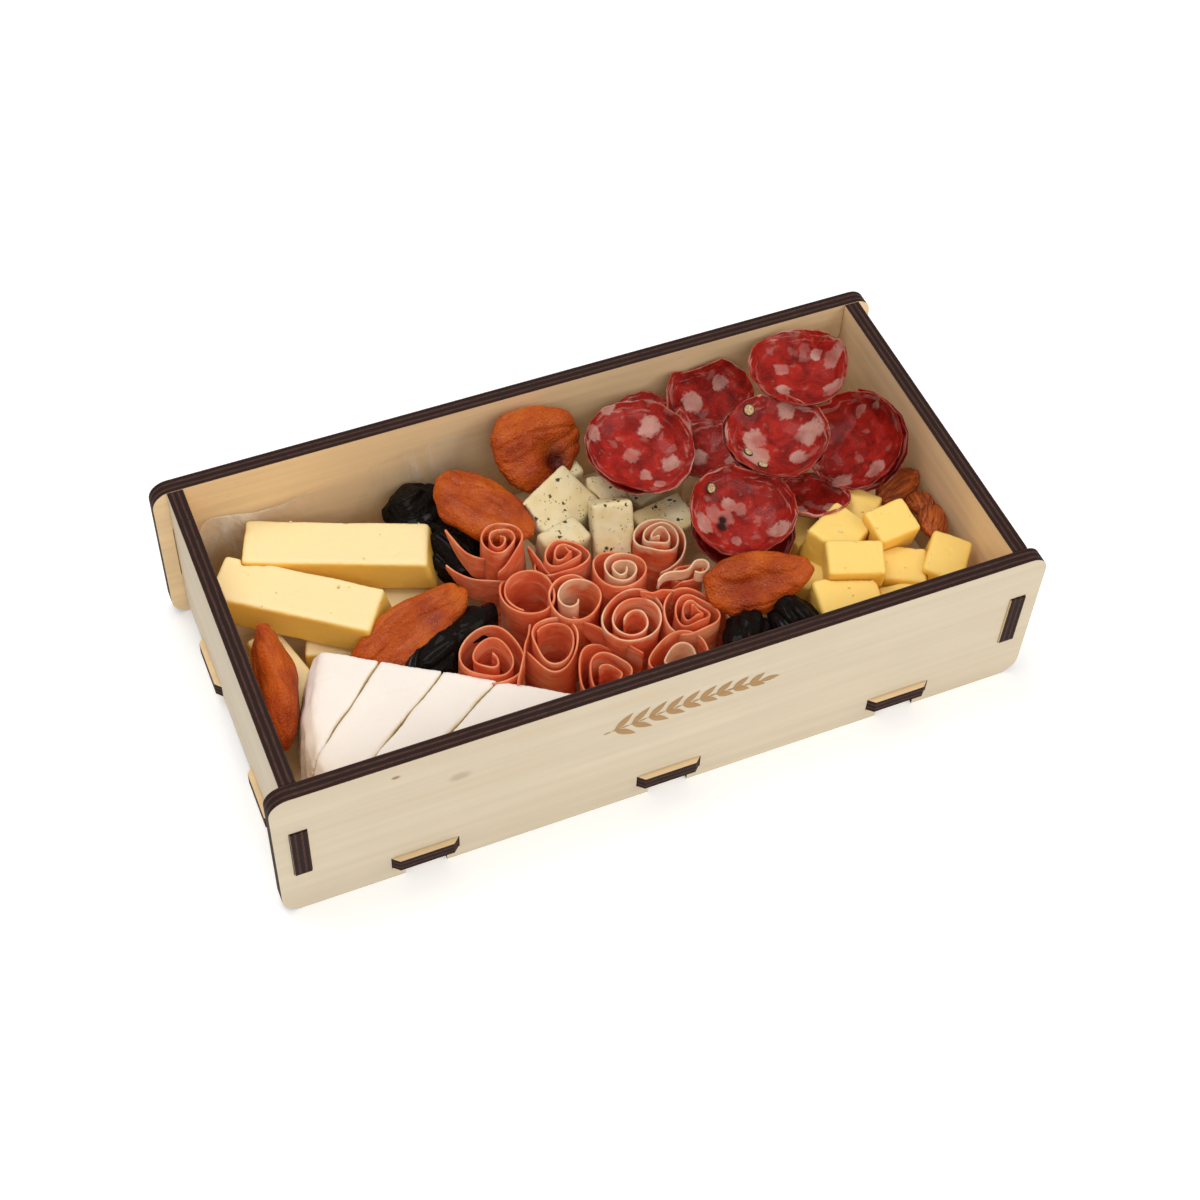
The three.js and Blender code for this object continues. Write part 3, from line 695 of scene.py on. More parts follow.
# ---------------------------------------------------------------- mesh building
def link(name, data):
    piece = bpy.data.objects.new(name, data)
    bpy.context.scene.collection.objects.link(piece)
    return piece


def node_copy(node):
    """A CAD node's mesh as a bmesh, with its loose triangles merged."""
    bm = bmesh.new()
    bm.from_mesh(NODES[node].data)
    bmesh.ops.remove_doubles(bm, verts=bm.verts, dist=0.01 * MM)
    bmesh.ops.recalc_face_normals(bm, faces=bm.faces)
    return bm


def evened(bm, spacing):
    """The same solid with an even skin of small faces."""
    mesh = bpy.data.meshes.new("raw")
    bm.to_mesh(mesh)
    bm.free()
    piece = link("raw", mesh)
    even = piece.modifiers.new("Even skin", "REMESH")
    even.mode = "VOXEL"
    even.voxel_size = spacing
    seen = piece.evaluated_get(bpy.context.evaluated_depsgraph_get())
    made = bmesh.new()
    made.from_mesh(seen.to_mesh())
    seen.to_mesh_clear()
    bpy.data.objects.remove(piece)
    bpy.data.meshes.remove(mesh)
    return made


def soften(bm, rounds):
    for _ in range(rounds):
        bmesh.ops.smooth_vert(
            bm, verts=bm.verts, factor=0.5, use_axis_x=True, use_axis_y=True, use_axis_z=True
        )
    bm.normal_update()


def extents(bm):
    points = np.array([v.co for v in bm.verts])
    return points.min(0), points.max(0)


def refit(bm, before):
    """Scales a softened shape back to the box that it had before."""
    (low, high), (old_low, old_high) = extents(bm), before
    share = (old_high - old_low) / (high - low)
    for v in bm.verts:
        v.co = Vector((np.array(v.co) - low) * share + old_low)
    bm.normal_update()


def wobble(point, size, seed=0.0):
    """Smooth noise from -1 to 1 with features of about that size."""
    return noise.noise(point / size + Vector((seed, seed * 0.7, -seed)))


def own_axes(bm):
    """The centre of a shape and its long, middle and short directions."""
    points = np.array([v.co for v in bm.verts])
    centre = points.mean(0)
    spread = np.linalg.eigh(np.cov((points - centre).T))[1]
    long, middle = Vector(spread[:, 2]), Vector(spread[:, 1])
    return Vector(centre), long, middle, long.cross(middle)


def push_points(bm, move):
    """Moves every point by move(point), in mm; all moves are worked out before any is made."""
    moves = [move(v) * MM for v in bm.verts]
    for v, step in zip(bm.verts, moves):
        v.co += step


def rounded(node, spacing, rounds):
    """A softened copy of a fruit or nut that still fills its box, and its "lay" layer.

    The layer holds each point's place along the shape's own axes, for patterns that follow it.
    """
    bm = evened(node_copy(node), spacing)
    before = extents(bm)
    soften(bm, rounds)
    refit(bm, before)
    centre, *axes = own_axes(bm)
    lay = bm.verts.layers.float_vector.new("lay")
    for v in bm.verts:
        away = v.co - centre
        v[lay] = Vector([away.dot(axis) for axis in axes])
    return bm, lay


def drawn_out(own, share):
    """A place along a shape's own axes, squeezed lengthwise so that noise on it runs long."""
    return Vector((own.x * share, own.y, own.z))


def crease(point, size, seed, least):
    """0 away from a crease and 1 along it; creases are that far apart, narrow where least is high."""
    line = 1 - abs(wobble(point, size, seed))
    return max(0.0, line - least) / (1 - least)


def finish_piece(bm, name, material, slot, *stands_for):
    """Turns a bmesh into a finished piece that rides on the box."""
    for face in bm.faces:
        face.smooth = True
    mesh = bpy.data.meshes.new(name)
    bm.to_mesh(mesh)
    bm.free()
    mesh.materials.append(material)
    piece = link(name, mesh)
    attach(piece, BODY)
    if stands_for:
        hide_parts(*stands_for)
    return piece


def nodes_of(kind):
    return sorted(name for name in NODES if name.startswith(kind))


def near(node, right=0.0, back=0.0, up=0.0):
    """A point that many millimetres from the middle of a node's box."""
    low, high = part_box(node)
    return (low + high) / 2 + Vector((right, back, up)) * MM


def cut_block(centre, size, turn, roll=0.0):
    """A cut block of cheese that has no node of its own: size in mm, turn and roll in degrees."""
    bm = bmesh.new()
    place = Matrix.Rotation(math.radians(turn), 4, "Z") @ Matrix.Rotation(math.radians(roll), 4, "X")
    place = Matrix.Translation(centre) @ place @ Matrix.Diagonal((*[s * MM for s in size], 1))
    bmesh.ops.create_cube(bm, size=1.0, matrix=place)
    bmesh.ops.bevel(
        bm, geom=bm.edges[:], offset=0.8 * MM, segments=2, profile=0.5, affect="EDGES", material=-1
    )
    return bm


def shape_block(bm, spacing, seed, crumble=0.10, bow=0.35):
    """Gives a cheese block soft edges, faces bowed and roughened that many mm, and small pits."""
    bm = evened(bm, spacing)
    soften(bm, 2)

    def move(v):
        broad = wobble(v.co, 16 * MM, seed) * bow
        rough = wobble(v.co, 2.6 * MM, seed + 7) * crumble
        pit = max(0.0, wobble(v.co, 5 * MM, seed + 3) - 0.45) * 1.6
        return v.normal * (broad + rough - pit)

    push_points(bm, move)
    return bm


# ---------------------------------------------------------------- operators
class PieceOperator(bpy.types.Operator):
    """What every operator shares: undo, and the settings of the box and of the food."""

    bl_options = {"REGISTER", "UNDO"}

    @property
    def box(self):
        return bpy.context.scene.charcuterie_box

    @property
    def food(self):
        return bpy.context.scene.charcuterie_food


class CHARCUTERIE_OT_plywood(PieceOperator):
    """Finish the plywood panels"""

    bl_idname = "charcuterie.plywood"
    bl_label = "Plywood panels"

    def execute(self, context):
        for panel in PANELS:
            materials = NODES[panel].data.materials
            materials.clear()
            materials.append(plywood_finish(self.box, panel))
        return {"FINISHED"}


class CHARCUTERIE_OT_sprig(PieceOperator):
    """Engrave a plain herb sprig on the front panel"""

    bl_idname = "charcuterie.sprig"
    bl_label = "Engraved sprig"

    LEAVES = 9  # on each side of the stem
    LENGTH = 62.0
    RIGHT, UP = 3.0, 13.0  # of the panel's middle
    STEM, LEAF, TIP = 0.9, (10.5, 3.1), (7.5, 2.6)  # width; length and width
    OFF = 0.05  # from the panel's face
    STEP = 0.002  # between one leaf and the next, so that no two lie in one plane

    def leaf(self, bm, at, angle, length, width, face_y):
        """A flat pointed leaf that stands a hair off the panel's face."""
        made = bmesh.ops.create_circle(bm, cap_ends=True, segments=18, radius=1.0)
        for v in made["verts"]:
            share = (v.co.x + 1) / 2
            x = share * length
            z = width / 2 * math.sin(math.pi * share ** 0.8) * (1 if v.co.y > 0 else -1)
            if abs(v.co.y) < 0.01:
                z = 0.0
            right = at[0] + x * math.cos(angle) - z * math.sin(angle)
            up = at[1] + x * math.sin(angle) + z * math.cos(angle)
            v.co = Vector((right, 0, up)) * MM
            v.co.y = face_y - self.STEP * MM * len(bm.faces)

    def execute(self, context):
        low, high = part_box("front_panel")
        face_y = low.y - self.OFF * MM
        start = (low.x + high.x) / 2 / MM - self.LENGTH / 2 + self.RIGHT
        middle = (low.z + high.z) / 2 / MM + self.UP

        def stem(share):
            return start + share * self.LENGTH, middle + 3.0 * math.sin(2.4 * share)

        bm = bmesh.new()
        for i in range(self.LEAVES * 2):
            here, there = stem(i / (2 * self.LEAVES)), stem((i + 1.04) / (2 * self.LEAVES))
            run = math.atan2(there[1] - here[1], there[0] - here[0])
            self.leaf(bm, here, run, math.dist(here, there), self.STEM, face_y)
        for i in range(self.LEAVES):
            share = (i + 0.7) / (self.LEAVES + 0.4)
            length = self.LEAF[0] * (1 - 0.35 * share)
            for side in (-1, 1):
                angle = side * (0.75 - 0.25 * share) + 0.12
                self.leaf(bm, stem(share), angle, length, self.LEAF[1], face_y)
        self.leaf(bm, stem(1.0), 0.0, *self.TIP, face_y)
        for face in bm.faces:
            if face.normal.y > 0:
                face.normal_flip()
        finish_piece(bm, "front_sprig", engraving_finish(self.box), "plywood")
        return {"FINISHED"}


class CHARCUTERIE_OT_liner(PieceOperator):
    """Hang the clear liner along the left and back walls"""

    bl_idname = "charcuterie.liner"
    bl_label = "Clear liner"

    CORNER = 9.0  # radius in the box's corner
    OFF = 0.9  # least gap to the walls
    EDGE, EDGE_RISE = 47.0, 11.5  # height of the top edge, and its rise along the film
    FADE = 25.0  # run at the right end that melts away
    CREASE, FINE_CREASE = 1.3, 0.35

    def execute(self, context):
        low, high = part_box("clear_liner")
        x0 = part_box("left_end_panel")[1].x + self.OFF * MM
        y0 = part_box("back_panel")[0].y - self.OFF * MM
        corner = self.CORNER * MM
        left = y0 - corner - low.y
        around = corner * math.pi / 2
        whole = left + around + high.x - x0 - corner
        bm = bmesh.new()
        fade = bm.verts.layers.float.new("fade")
        bmesh.ops.create_grid(bm, x_segments=150, y_segments=26, size=0.5)
        for v in bm.verts:
            along = (v.co.x + 0.5) * whole
            up = v.co.y + 0.5
            v[fade] = min(1.0, (whole - along) / (self.FADE * MM))
            if along < left:
                at, out = Vector((x0, low.y + along, 0)), Vector((1, 0, 0))
            elif along < left + around:
                turn = (along - left) / corner
                out = Vector((math.cos(turn), -math.sin(turn), 0))
                at = Vector((x0 + corner, y0 - corner, 0)) - out * corner
            else:
                at, out = Vector((x0 + corner + along - left - around, y0, 0)), Vector((0, -1, 0))
            share = along / whole
            edge = self.EDGE + self.EDGE_RISE * share
            edge += 2.4 * math.sin(9 * share) + 1.4 * math.sin(23 * share)
            broad = noise.noise(Vector((along * 55 + up * 1.3, up * 1.1, 0.5)))
            fine = noise.noise(Vector((along * 130 - up * 2.4, up * 2.0, 3.5)))
            push = 1.0 + self.CREASE * broad + self.FINE_CREASE * fine
            v.co = at + out * max(0.1, push) * MM
            v.co.z = low.z + up * (edge * MM - low.z)
        piece = finish_piece(bm, "wrinkled_liner", liner_finish(), "clear_film", "clear_liner")
        wall = piece.modifiers.new("Film", "SOLIDIFY")
        wall.thickness = self.box.liner_thickness
        return {"FINISHED"}


class CHARCUTERIE_OT_firm_cheese(PieceOperator):
    """Finish the cheese sticks and cubes"""

    bl_idname = "charcuterie.firm_cheese"
    bl_label = "Firm cheese"

    def execute(self, context):
        stick = firm_cheese_finish(self.food, "Pale firm cheese", 1.08)
        cube = firm_cheese_finish(self.food, "Golden firm cheese", 0.92)
        for seed, node in enumerate(nodes_of("cheese_")):
            material = stick if "stick" in node else cube
            bm = shape_block(node_copy(node), self.food.skin, seed * 3.1)
            finish_piece(bm, node.replace("cheese", "cut"), material, "firm_cheese", node)
        loose = [
            ("low_stick", near("cheese_stick_4", 17, 18, 0), (34, 16, 15), -40, stick),
            ("low_cube_1", near("cheese_cube_6", 22, -7, -5), (18, 14, 16), -6, cube),
            ("low_cube_2", near("cheese_cube_6", -5, 18, -8), (15, 14, 15), 52, cube),
            ("low_cube_3", near("cheese_cube_1", -9, 13, -8), (17, 15, 15), 24, cube),
        ]
        for seed, (name, centre, size, turn, material) in enumerate(loose):
            bm = shape_block(cut_block(centre, size, turn), self.food.skin, 40 + seed)
            finish_piece(bm, name, material, "firm_cheese")
        return {"FINISHED"}


class CHARCUTERIE_OT_brie(PieceOperator):
    """Finish the brie wedge's slices"""

    bl_idname = "charcuterie.brie"
    bl_label = "Brie"

    TIP_IN = 15.6  # from the back of the last slice's box to the wedge's tip
    RIND = 14.0  # depth of the mottled outer side
    RIND_FADE = 4.0

    def execute(self, context):
        material = brie_finish(self.food)
        names = nodes_of("brie_slice")
        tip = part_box(names[-1])
        centre = Vector((tip[1].x, tip[1].y - self.TIP_IN * MM, 0))
        reach = max((v.co.xy - centre.xy).length for n in names for v in NODES[n].data.vertices)
        for node in names:
            bm = evened(node_copy(node), self.food.skin * 1.15)
            soften(bm, 3)
            rind = bm.verts.layers.float.new("rind")

            def move(v):
                inward = (reach - (v.co.xy - centre.xy).length) / MM
                v[rind] = min(1.0, max(0.0, (self.RIND - inward) / self.RIND_FADE))
                soft = wobble(v.co, 9 * MM) * 0.28 + wobble(v.co, 3 * MM, 4) * 0.10
                swell = v[rind] * wobble(v.co, 6 * MM, 9) * 0.45
                wander = Vector((wobble(v.co, 8 * MM, 2), wobble(v.co, 8 * MM, 6), 0)) * 0.5
                return v.normal * (soft + swell) + wander

            push_points(bm, move)
            finish_piece(bm, node.replace("slice", "wedge"), material, "brie", node)
        return {"FINISHED"}


class CHARCUTERIE_OT_herb_cheese(PieceOperator):
    """Finish the blocks of herb cheese"""

    bl_idname = "charcuterie.herb_cheese"
    bl_label = "Herb cheese"

    def execute(self, context):
        material = herb_cheese_finish(self.food)
        for seed, node in enumerate(nodes_of("herb_cheese")):
            bm = shape_block(node_copy(node), self.food.skin, 60 + seed * 2.3, 0.14, 0.4)
            finish_piece(bm, node.replace("cheese", "block"), material, "herb_cheese", node)
        loose = [
            ("herb_block_low_1", near("herb_cheese_4", 21, -1, -5), (22, 16, 16), 10, 8),
            ("herb_block_low_2", near("herb_cheese_3", 20, 6, -9), (24, 18, 16), 20, 0),
        ]
        for seed, (name, centre, size, turn, roll) in enumerate(loose):
            bm = shape_block(cut_block(centre, size, turn, roll), self.food.skin, 90 + seed)
            finish_piece(bm, name, material, "herb_cheese")
        return {"FINISHED"}


class CHARCUTERIE_OT_apricots(PieceOperator):
    """Finish the dried apricots"""

    bl_idname = "charcuterie.apricots"
    bl_label = "Dried apricots"

    # A hollow pressed into a fruit, in mm: right and back of its middle, radius and depth.
    HOLLOWS = {"apricot_4": (5.0, -6.5, 5.5, 5.0)}

    def execute(self, context):
        material = apricot_finish(self.food)
        for seed, node in enumerate(nodes_of("apricot")):
            bm, lay = rounded(node, self.food.skin, 14)
            # How far each point lies in the pressed dent; the finish darkens it as painted shade.
            hollow = bm.verts.layers.float.new("hollow")
            right, back, radius, deep = self.HOLLOWS.get(node, (0.0, 0.0, 1.0, 0.0))
            pressed = near(node, right, back)

            def move(v):
                lumps = wobble(v.co, 12 * MM, seed) * 1.1 + wobble(v.co, 5 * MM, seed + 5) * 0.35
                fold = 0.7 * crease(drawn_out(v[lay], 0.30), 5.0 * MM, seed + 9, 0.74)
                away = (v.co.xy - pressed.xy).length / MM
                press = math.exp(-(away / radius) ** 2) * max(0.0, v.normal.z + 0.3)
                v[hollow] = min(1.0, 1.3 * press ** 1.5 if deep else 0.0)
                return v.normal * (lumps - fold) + Vector((0, 0, -deep * press))

            push_points(bm, move)
            soften(bm, 1)
            finish_piece(bm, "dried_" + node, material, "dried_apricot", node)
        return {"FINISHED"}


class CHARCUTERIE_OT_prunes(PieceOperator):
    """Finish the prunes"""

    bl_idname = "charcuterie.prunes"
    bl_label = "Prunes"

    def execute(self, context):
        material = prune_finish(self.food)
        for seed, node in enumerate(nodes_of("prune")):
            bm, lay = rounded(node, self.food.skin, 12)

            def move(v):
                drawn = drawn_out(v[lay], 0.24)
                fold = 1.6 * crease(drawn, 6.5 * MM, seed + 2, 0.70)
                ripple = 0.3 * crease(drawn, 3.0 * MM, seed + 12, 0.6)
                lumps = wobble(v.co, 13 * MM, seed) * 0.9 + 0.5
                return v.normal * (lumps - fold - ripple)

            push_points(bm, move)
            soften(bm, 1)
            finish_piece(bm, "dried_" + node, material, "prune", node)
        return {"FINISHED"}


class CHARCUTERIE_OT_almonds(PieceOperator):
    """Finish the almonds"""

    bl_idname = "charcuterie.almonds"
    bl_label = "Almonds"

    def execute(self, context):
        material = almond_finish(self.food)
        for seed, node in enumerate(nodes_of("almond")):
            bm, lay = rounded(node, self.food.skin * 0.8, 8)
            push_points(
                bm, lambda v: v.normal * wobble(drawn_out(v[lay], 0.14), 1.6 * MM, seed) * 0.28
            )
            finish_piece(bm, "skin_on_" + node, material, "almond", node)
        return {"FINISHED"}


# Each ham roll, in mm: radius, turns, start of the outer end in degrees, radius where it ends, how
# late it curls in, wave of the rim, rise of the inner layers, closing of the rim, share of fat and
# of the pale inner end, dip of the rim and the side it faces in degrees, and its lean from upright.
ROLLS = {
    "ham_roll_1": dict(radius=10, turns=2.5, start=245, core=1.4, wave=0.4, rise=-1, close=0.8,
                       dip=1.5, dip_side=245, fat=0.15, lean=(-5.5, 1.5)),
    "ham_roll_2": dict(radius=12, turns=2.8, start=150, core=1.4, wave=1.8, rise=3, close=1.4,
                       fat=0.4, oval=0.9, lean=(0, 1.5)),
    "ham_roll_3": dict(radius=12.5, turns=3, start=250, core=1.6, wave=1.4, rise=4, close=1.4,
                       fat=0.6, lean=(-0.5, 2)),
    "ham_roll_4": dict(radius=12.5, turns=2.8, start=70, core=1.4, late=0.7, wave=0.6, rise=-1,
                       fat=0.2, pale_core=0.7, oval=0.9, dip=1.5, dip_side=245, lean=(0, 1.5)),
    "ham_roll_5": dict(radius=10.5, turns=1.35, start=110, core=8.2, wave=0.6, rise=-1,
                       lean=(2.5, 1.5)),
    "ham_roll_6": dict(radius=10, turns=1.75, start=20, core=1.2, late=3.2, wave=0.5, rise=-0.5,
                       fat=0.1, pale_core=0.5, lean=(-2, 0.5)),
    "ham_roll_7": dict(radius=11.5, turns=2.5, start=330, core=2.5, late=1.6, wave=0.8, rise=-4,
                       fat=0.5, dip=1.5, dip_side=245, lean=(0, 1.5)),
    "ham_roll_8": dict(radius=7.5, turns=1.2, start=200, core=4, wave=0.8, rise=-4, oval=0.7,
                       fat=0.2),
    "ham_roll_9": dict(radius=13.5, turns=3.4, start=320, core=1.6, wave=2, rise=1, close=1.8,
                       fat=0.12, dip=2, dip_side=200, lean=(-0.5, -1.5)),
    "ham_roll_10": dict(radius=12.5, turns=2.5, start=210, core=1.6, late=1.5, wave=1.2, rise=-3,
                        fat=0.1, dip=1.5, dip_side=235, lean=(-1, -1)),
    "ham_roll_11": dict(radius=10.5, turns=1.9, start=170, core=6, wave=0.4, rise=-2.5,
                        dip=8, dip_side=245, lean=(-0.5, -0.5)),
    "ham_roll_12": dict(radius=12, turns=2.2, start=60, core=3, wave=1.2, rise=-5, fat=0.15,
                        dip=4, dip_side=220, lean=(-1, 0)),
    "ham_roll_13": dict(radius=13, turns=2.2, start=170, core=2.4, late=1.4, wave=1.2, rise=-3,
                        fat=0.2, pale_core=0.5, oval=0.85, lean=(-0.5, 2)),
}
# Loose bands that run off a roll, in mm from the middle of the top of its node's box: start and end,
# right and back; how far the middle bows to the left; how far below it the top edge lies at each
# end; height and share of fat. The ribbon of fat waves, and ends in a loop of that radius.
BANDS = {
    "ham_roll_1": [
        dict(start=(-22, 16), end=(3, 0), bow=-9, drop=(5, 9), tall=13),
        dict(start=(-26, 5), end=(-3, -9), bow=-4, drop=(12, 14), tall=13),
        dict(start=(5, -1), end=(10, -19), drop=(7, 11), tall=16, fat=0.1),
    ],
    "ham_roll_8": [
        dict(start=(-13, -2), end=(3, 1), wave=1.5, loop=3.5, drop=(0, -3), tall=5.5, fat=1.2),
    ],
    "ham_roll_9": [dict(start=(-16, 13), end=(-4, 9), drop=(1, 0), tall=12, fat=0.2)],
    "ham_roll_11": [dict(start=(-6, 9), end=(-19, -12), drop=(3, 5), tall=16)],
    "ham_roll_12": [dict(start=(-5, 25), end=(14, 2), bow=1, drop=(0, 3), tall=16, fat=0.1)],
}
LOOP_RUN = 0.55  # share of a looped ribbon that runs before its loop
LOOP_TURN = math.radians(250)


def band_point(share, start, end, bow, wave, loop, drop):
    """The point, in mm, at that share of the way along a loose band's top edge."""
    run = LOOP_RUN if loop else 1.0
    t = min(1.0, share / run)
    way = Vector(end) - Vector(start)
    ahead = way.normalized()
    left = Vector((-ahead.y, ahead.x))
    aside = 4 * bow * t * (1 - t) + wave * math.sin(2 * math.pi * t)
    at = Vector(start) + way * t + left * aside
    if share > run:
        turned = LOOP_TURN * (share - run) / (1 - run)
        at += (left * (math.cos(turned) - 1) + ahead * math.sin(turned)) * loop
    return Vector((at.x, at.y, -drop[0] - (drop[1] - drop[0]) * share))


class CHARCUTERIE_OT_ham(PieceOperator):
    """Roll the slices of ham"""

    bl_idname = "charcuterie.ham"
    bl_label = "Ham rolls"

    RIM, EDGE = 0.6, 0.93  # shares of the height where the rim and its thin edge start
    FLARE = 0.5  # how far every rim opens
    LEAST_RADIUS = 0.6
    CORNER, CORNER_RUN = 7.0, 0.09  # drop of a slice's outer corner, and its share of the length
    BAND_EDGE = 0.12  # share of a band's height that its edge takes up

    def roll(self, bm, node, seed, radius, turns, start, core, late=0.85, wave=0.5, rise=0.0,
             close=0.0, fat=0.0, oval=1.0, dip=0.0, dip_side=0.0, lean=(0.0, 0.0), pale_core=0.0):
        """One slice wound into an upright roll, with a thin ruffled rim."""
        low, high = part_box(node)
        foot = near(node, *lean)
        foot.z = low.z
        top = (high.z - low.z) / MM - max(0.0, rise)
        lay, fat_layer, rim_layer = self.layers(bm)
        made = bmesh.ops.create_grid(bm, x_segments=int(46 * turns) + 10, y_segments=14, size=0.5)
        for v in made["verts"]:
            along, up = v.co.x + 0.5, v.co.y + 0.5
            up = 1 - (1 - up) ** 1.35
            angle = math.radians(start) + 2 * math.pi * turns * along
            outer = 1 - along
            near_rim = max(0.0, up - self.RIM) / (1 - self.RIM)
            r = radius + (core - radius) * along ** late
            r *= 1 + 0.06 * math.sin(2 * angle + seed) + 0.045 * math.sin(3 * angle + 2.3 * seed)
            r += 1.1 * noise.noise(Vector((along * turns * 2.6, up * 2.0, seed * 3.7)))
            r += self.FLARE * near_rim ** 2 - close * near_rim ** 1.5 * (0.25 + 0.75 * outer)
            r = max(self.LEAST_RADIUS, r)
            facing = max(0.0, math.cos(angle - math.radians(dip_side)))
            height = top + rise * along - dip * facing ** 2 * (0.3 + 0.7 * outer)
            height += wave * (math.sin(2 * angle + seed * 1.9) - 1)
            height += 0.7 * noise.noise(Vector((along * turns * 6.0, 7.7, seed)))
            height -= self.CORNER * max(0.0, 1 - along / self.CORNER_RUN) ** 1.5
            v.co = Vector((r * math.cos(angle), r * math.sin(angle) * oval, up * height)) * MM
            v.co += foot
            v[lay] = Vector((along * turns * 45 * MM, up * 40 * MM, seed * 0.1))
            inner = max(0.0, along - 1 + pale_core) / pale_core if pale_core else 0.0
            v[fat_layer] = min(1.2, fat * (0.35 + 0.8 * near_rim ** 2) + 0.9 * inner ** 0.5)
            v[rim_layer] = max(0.0, up - self.EDGE) / (1 - self.EDGE)

    def layers(self, bm):
        """The stored patterns of a ham mesh: place on the slice, fat, and nearness to the rim."""
        vectors, floats = bm.verts.layers.float_vector, bm.verts.layers.float
        lay = vectors.get("lay") or vectors.new("lay")
        fat = floats.get("fat") or floats.new("fat")
        return lay, fat, floats.get("rim") or floats.new("rim")

    def band(self, bm, node, seed, start, end, drop, tall, bow=0.0, wave=0.0, loop=0.0, fat=0.0):
        """A loose thin band on edge, which tapers where it starts."""
        base = near(node)
        base.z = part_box(node)[1].z
        lay, fat_layer, rim_layer = self.layers(bm)
        made = bmesh.ops.create_grid(bm, x_segments=48, y_segments=8, size=0.5)
        for v in made["verts"]:
            along, down = v.co.x + 0.5, 0.5 - v.co.y
            at = band_point(along, start, end, bow, wave, loop, drop)
            deep = tall if loop else tall * min(1.0, 0.12 + 2.2 * along)
            at.z += 0.35 * math.sin(9 * along + seed) - down * deep
            for axis, apart in ((0, 0), (1, 5)):
                at[axis] += 0.5 * noise.noise(Vector((along * 4, down * 2, seed + apart)))
            v.co = base + at * MM
            v[lay] = Vector((along * 30 * MM, -down * tall * MM, seed))
            v[fat_layer] = fat
            v[rim_layer] = max(0.0, self.BAND_EDGE - down) / self.BAND_EDGE

    def execute(self, context):
        material = ham_finish(self.food)
        for seed, (node, shape) in enumerate(ROLLS.items()):
            bm = bmesh.new()
            self.roll(bm, node, seed + 1.0, **shape)
            for i, band in enumerate(BANDS.get(node, ())):
                self.band(bm, node, seed + 2.5 * i, **band)
            bmesh.ops.recalc_face_normals(bm, faces=bm.faces)
            piece = finish_piece(bm, node.replace("roll", "rose"), material, "ham", node)
            slice_wall = piece.modifiers.new("Slice", "SOLIDIFY")
            slice_wall.thickness = self.food.ham_thickness
            slice_wall.offset = 0
            smooth = piece.modifiers.new("Soft rim", "SUBSURF")
            smooth.levels = smooth.render_levels = 1
        return {"FINISHED"}


# Fat spots on each salami slice: millimetres right and back of the middle of its box, and radius.
FAT_SPOTS = {
    "salami_1": [(9, 10, 4.2), (-2, 1, 3.4), (0, -9, 2.6), (-14, 12, 3.2), (11, -7, 3.6),
                 (-5, 22, 4.0), (3, -15, 2.2)],
    "salami_2": [(-4.5, 8, 3.0), (-9, -3.5, 3.2), (16, 2, 4.2), (9, -13, 4.5), (11, 9, 2.5)],
    "salami_3": [(-9, -1, 5.6), (-6, 6, 4.6), (10, 13, 3.4), (14, 0, 5.0), (6, -8, 3.6)],
    "salami_4": [(5, 16, 3.0), (7, 12, 2.6), (13, 9, 3.0), (1, 14, 2.4), (-9, -9, 3.6),
                 (2, -13, 3.4), (-15, -14, 3.0)],
    "salami_5": [(-9, 6, 3.4), (-5, 3.5, 3.2), (-15, 1, 3.2), (-14, 4, 3.0), (-2, 8, 3.0),
                 (2, 5, 2.6), (11, -10, 4.0), (-5, -7, 2.2), (-4, -18, 3.0)],
    "salami_6": [(-5, 3, 4.0), (8, 6, 3.0)],
    "salami_7": [(4, 2, 4.0), (-8, 5, 3.0)],
    "salami_8": [(-3, 2, 4.0), (8, -6, 3.0)],
}
SLITS = {"salami_5": [(-8, 0.5, 1.7), (-6.5, 3.0, 1.4)]}
# A slice that lies just under another, and how far it is moved: right, back and up, in mm.
UNDER = {
    "salami_1": (0.8, 1.2, -2.2),
    "salami_3": (-0.5, 1.4, -2.4),
    "salami_4": (1.0, 0.4, -2.2),
    "salami_5": (-1, -3, -6.5),
}
# A side turned in: the way it faces in degrees, where it starts, how far in and up it goes, in mm.
FLAPS = {"salami_2": (-5, 5, 2.5, 1.2)}
PEPPERCORNS = {
    "salami_3": [(-4, 17.5, 2.6), (-11.5, 1, 2.0), (-8.7, -6.6, 2.2)],
    "salami_5": [(-6.8, 15, 2.3)],
}


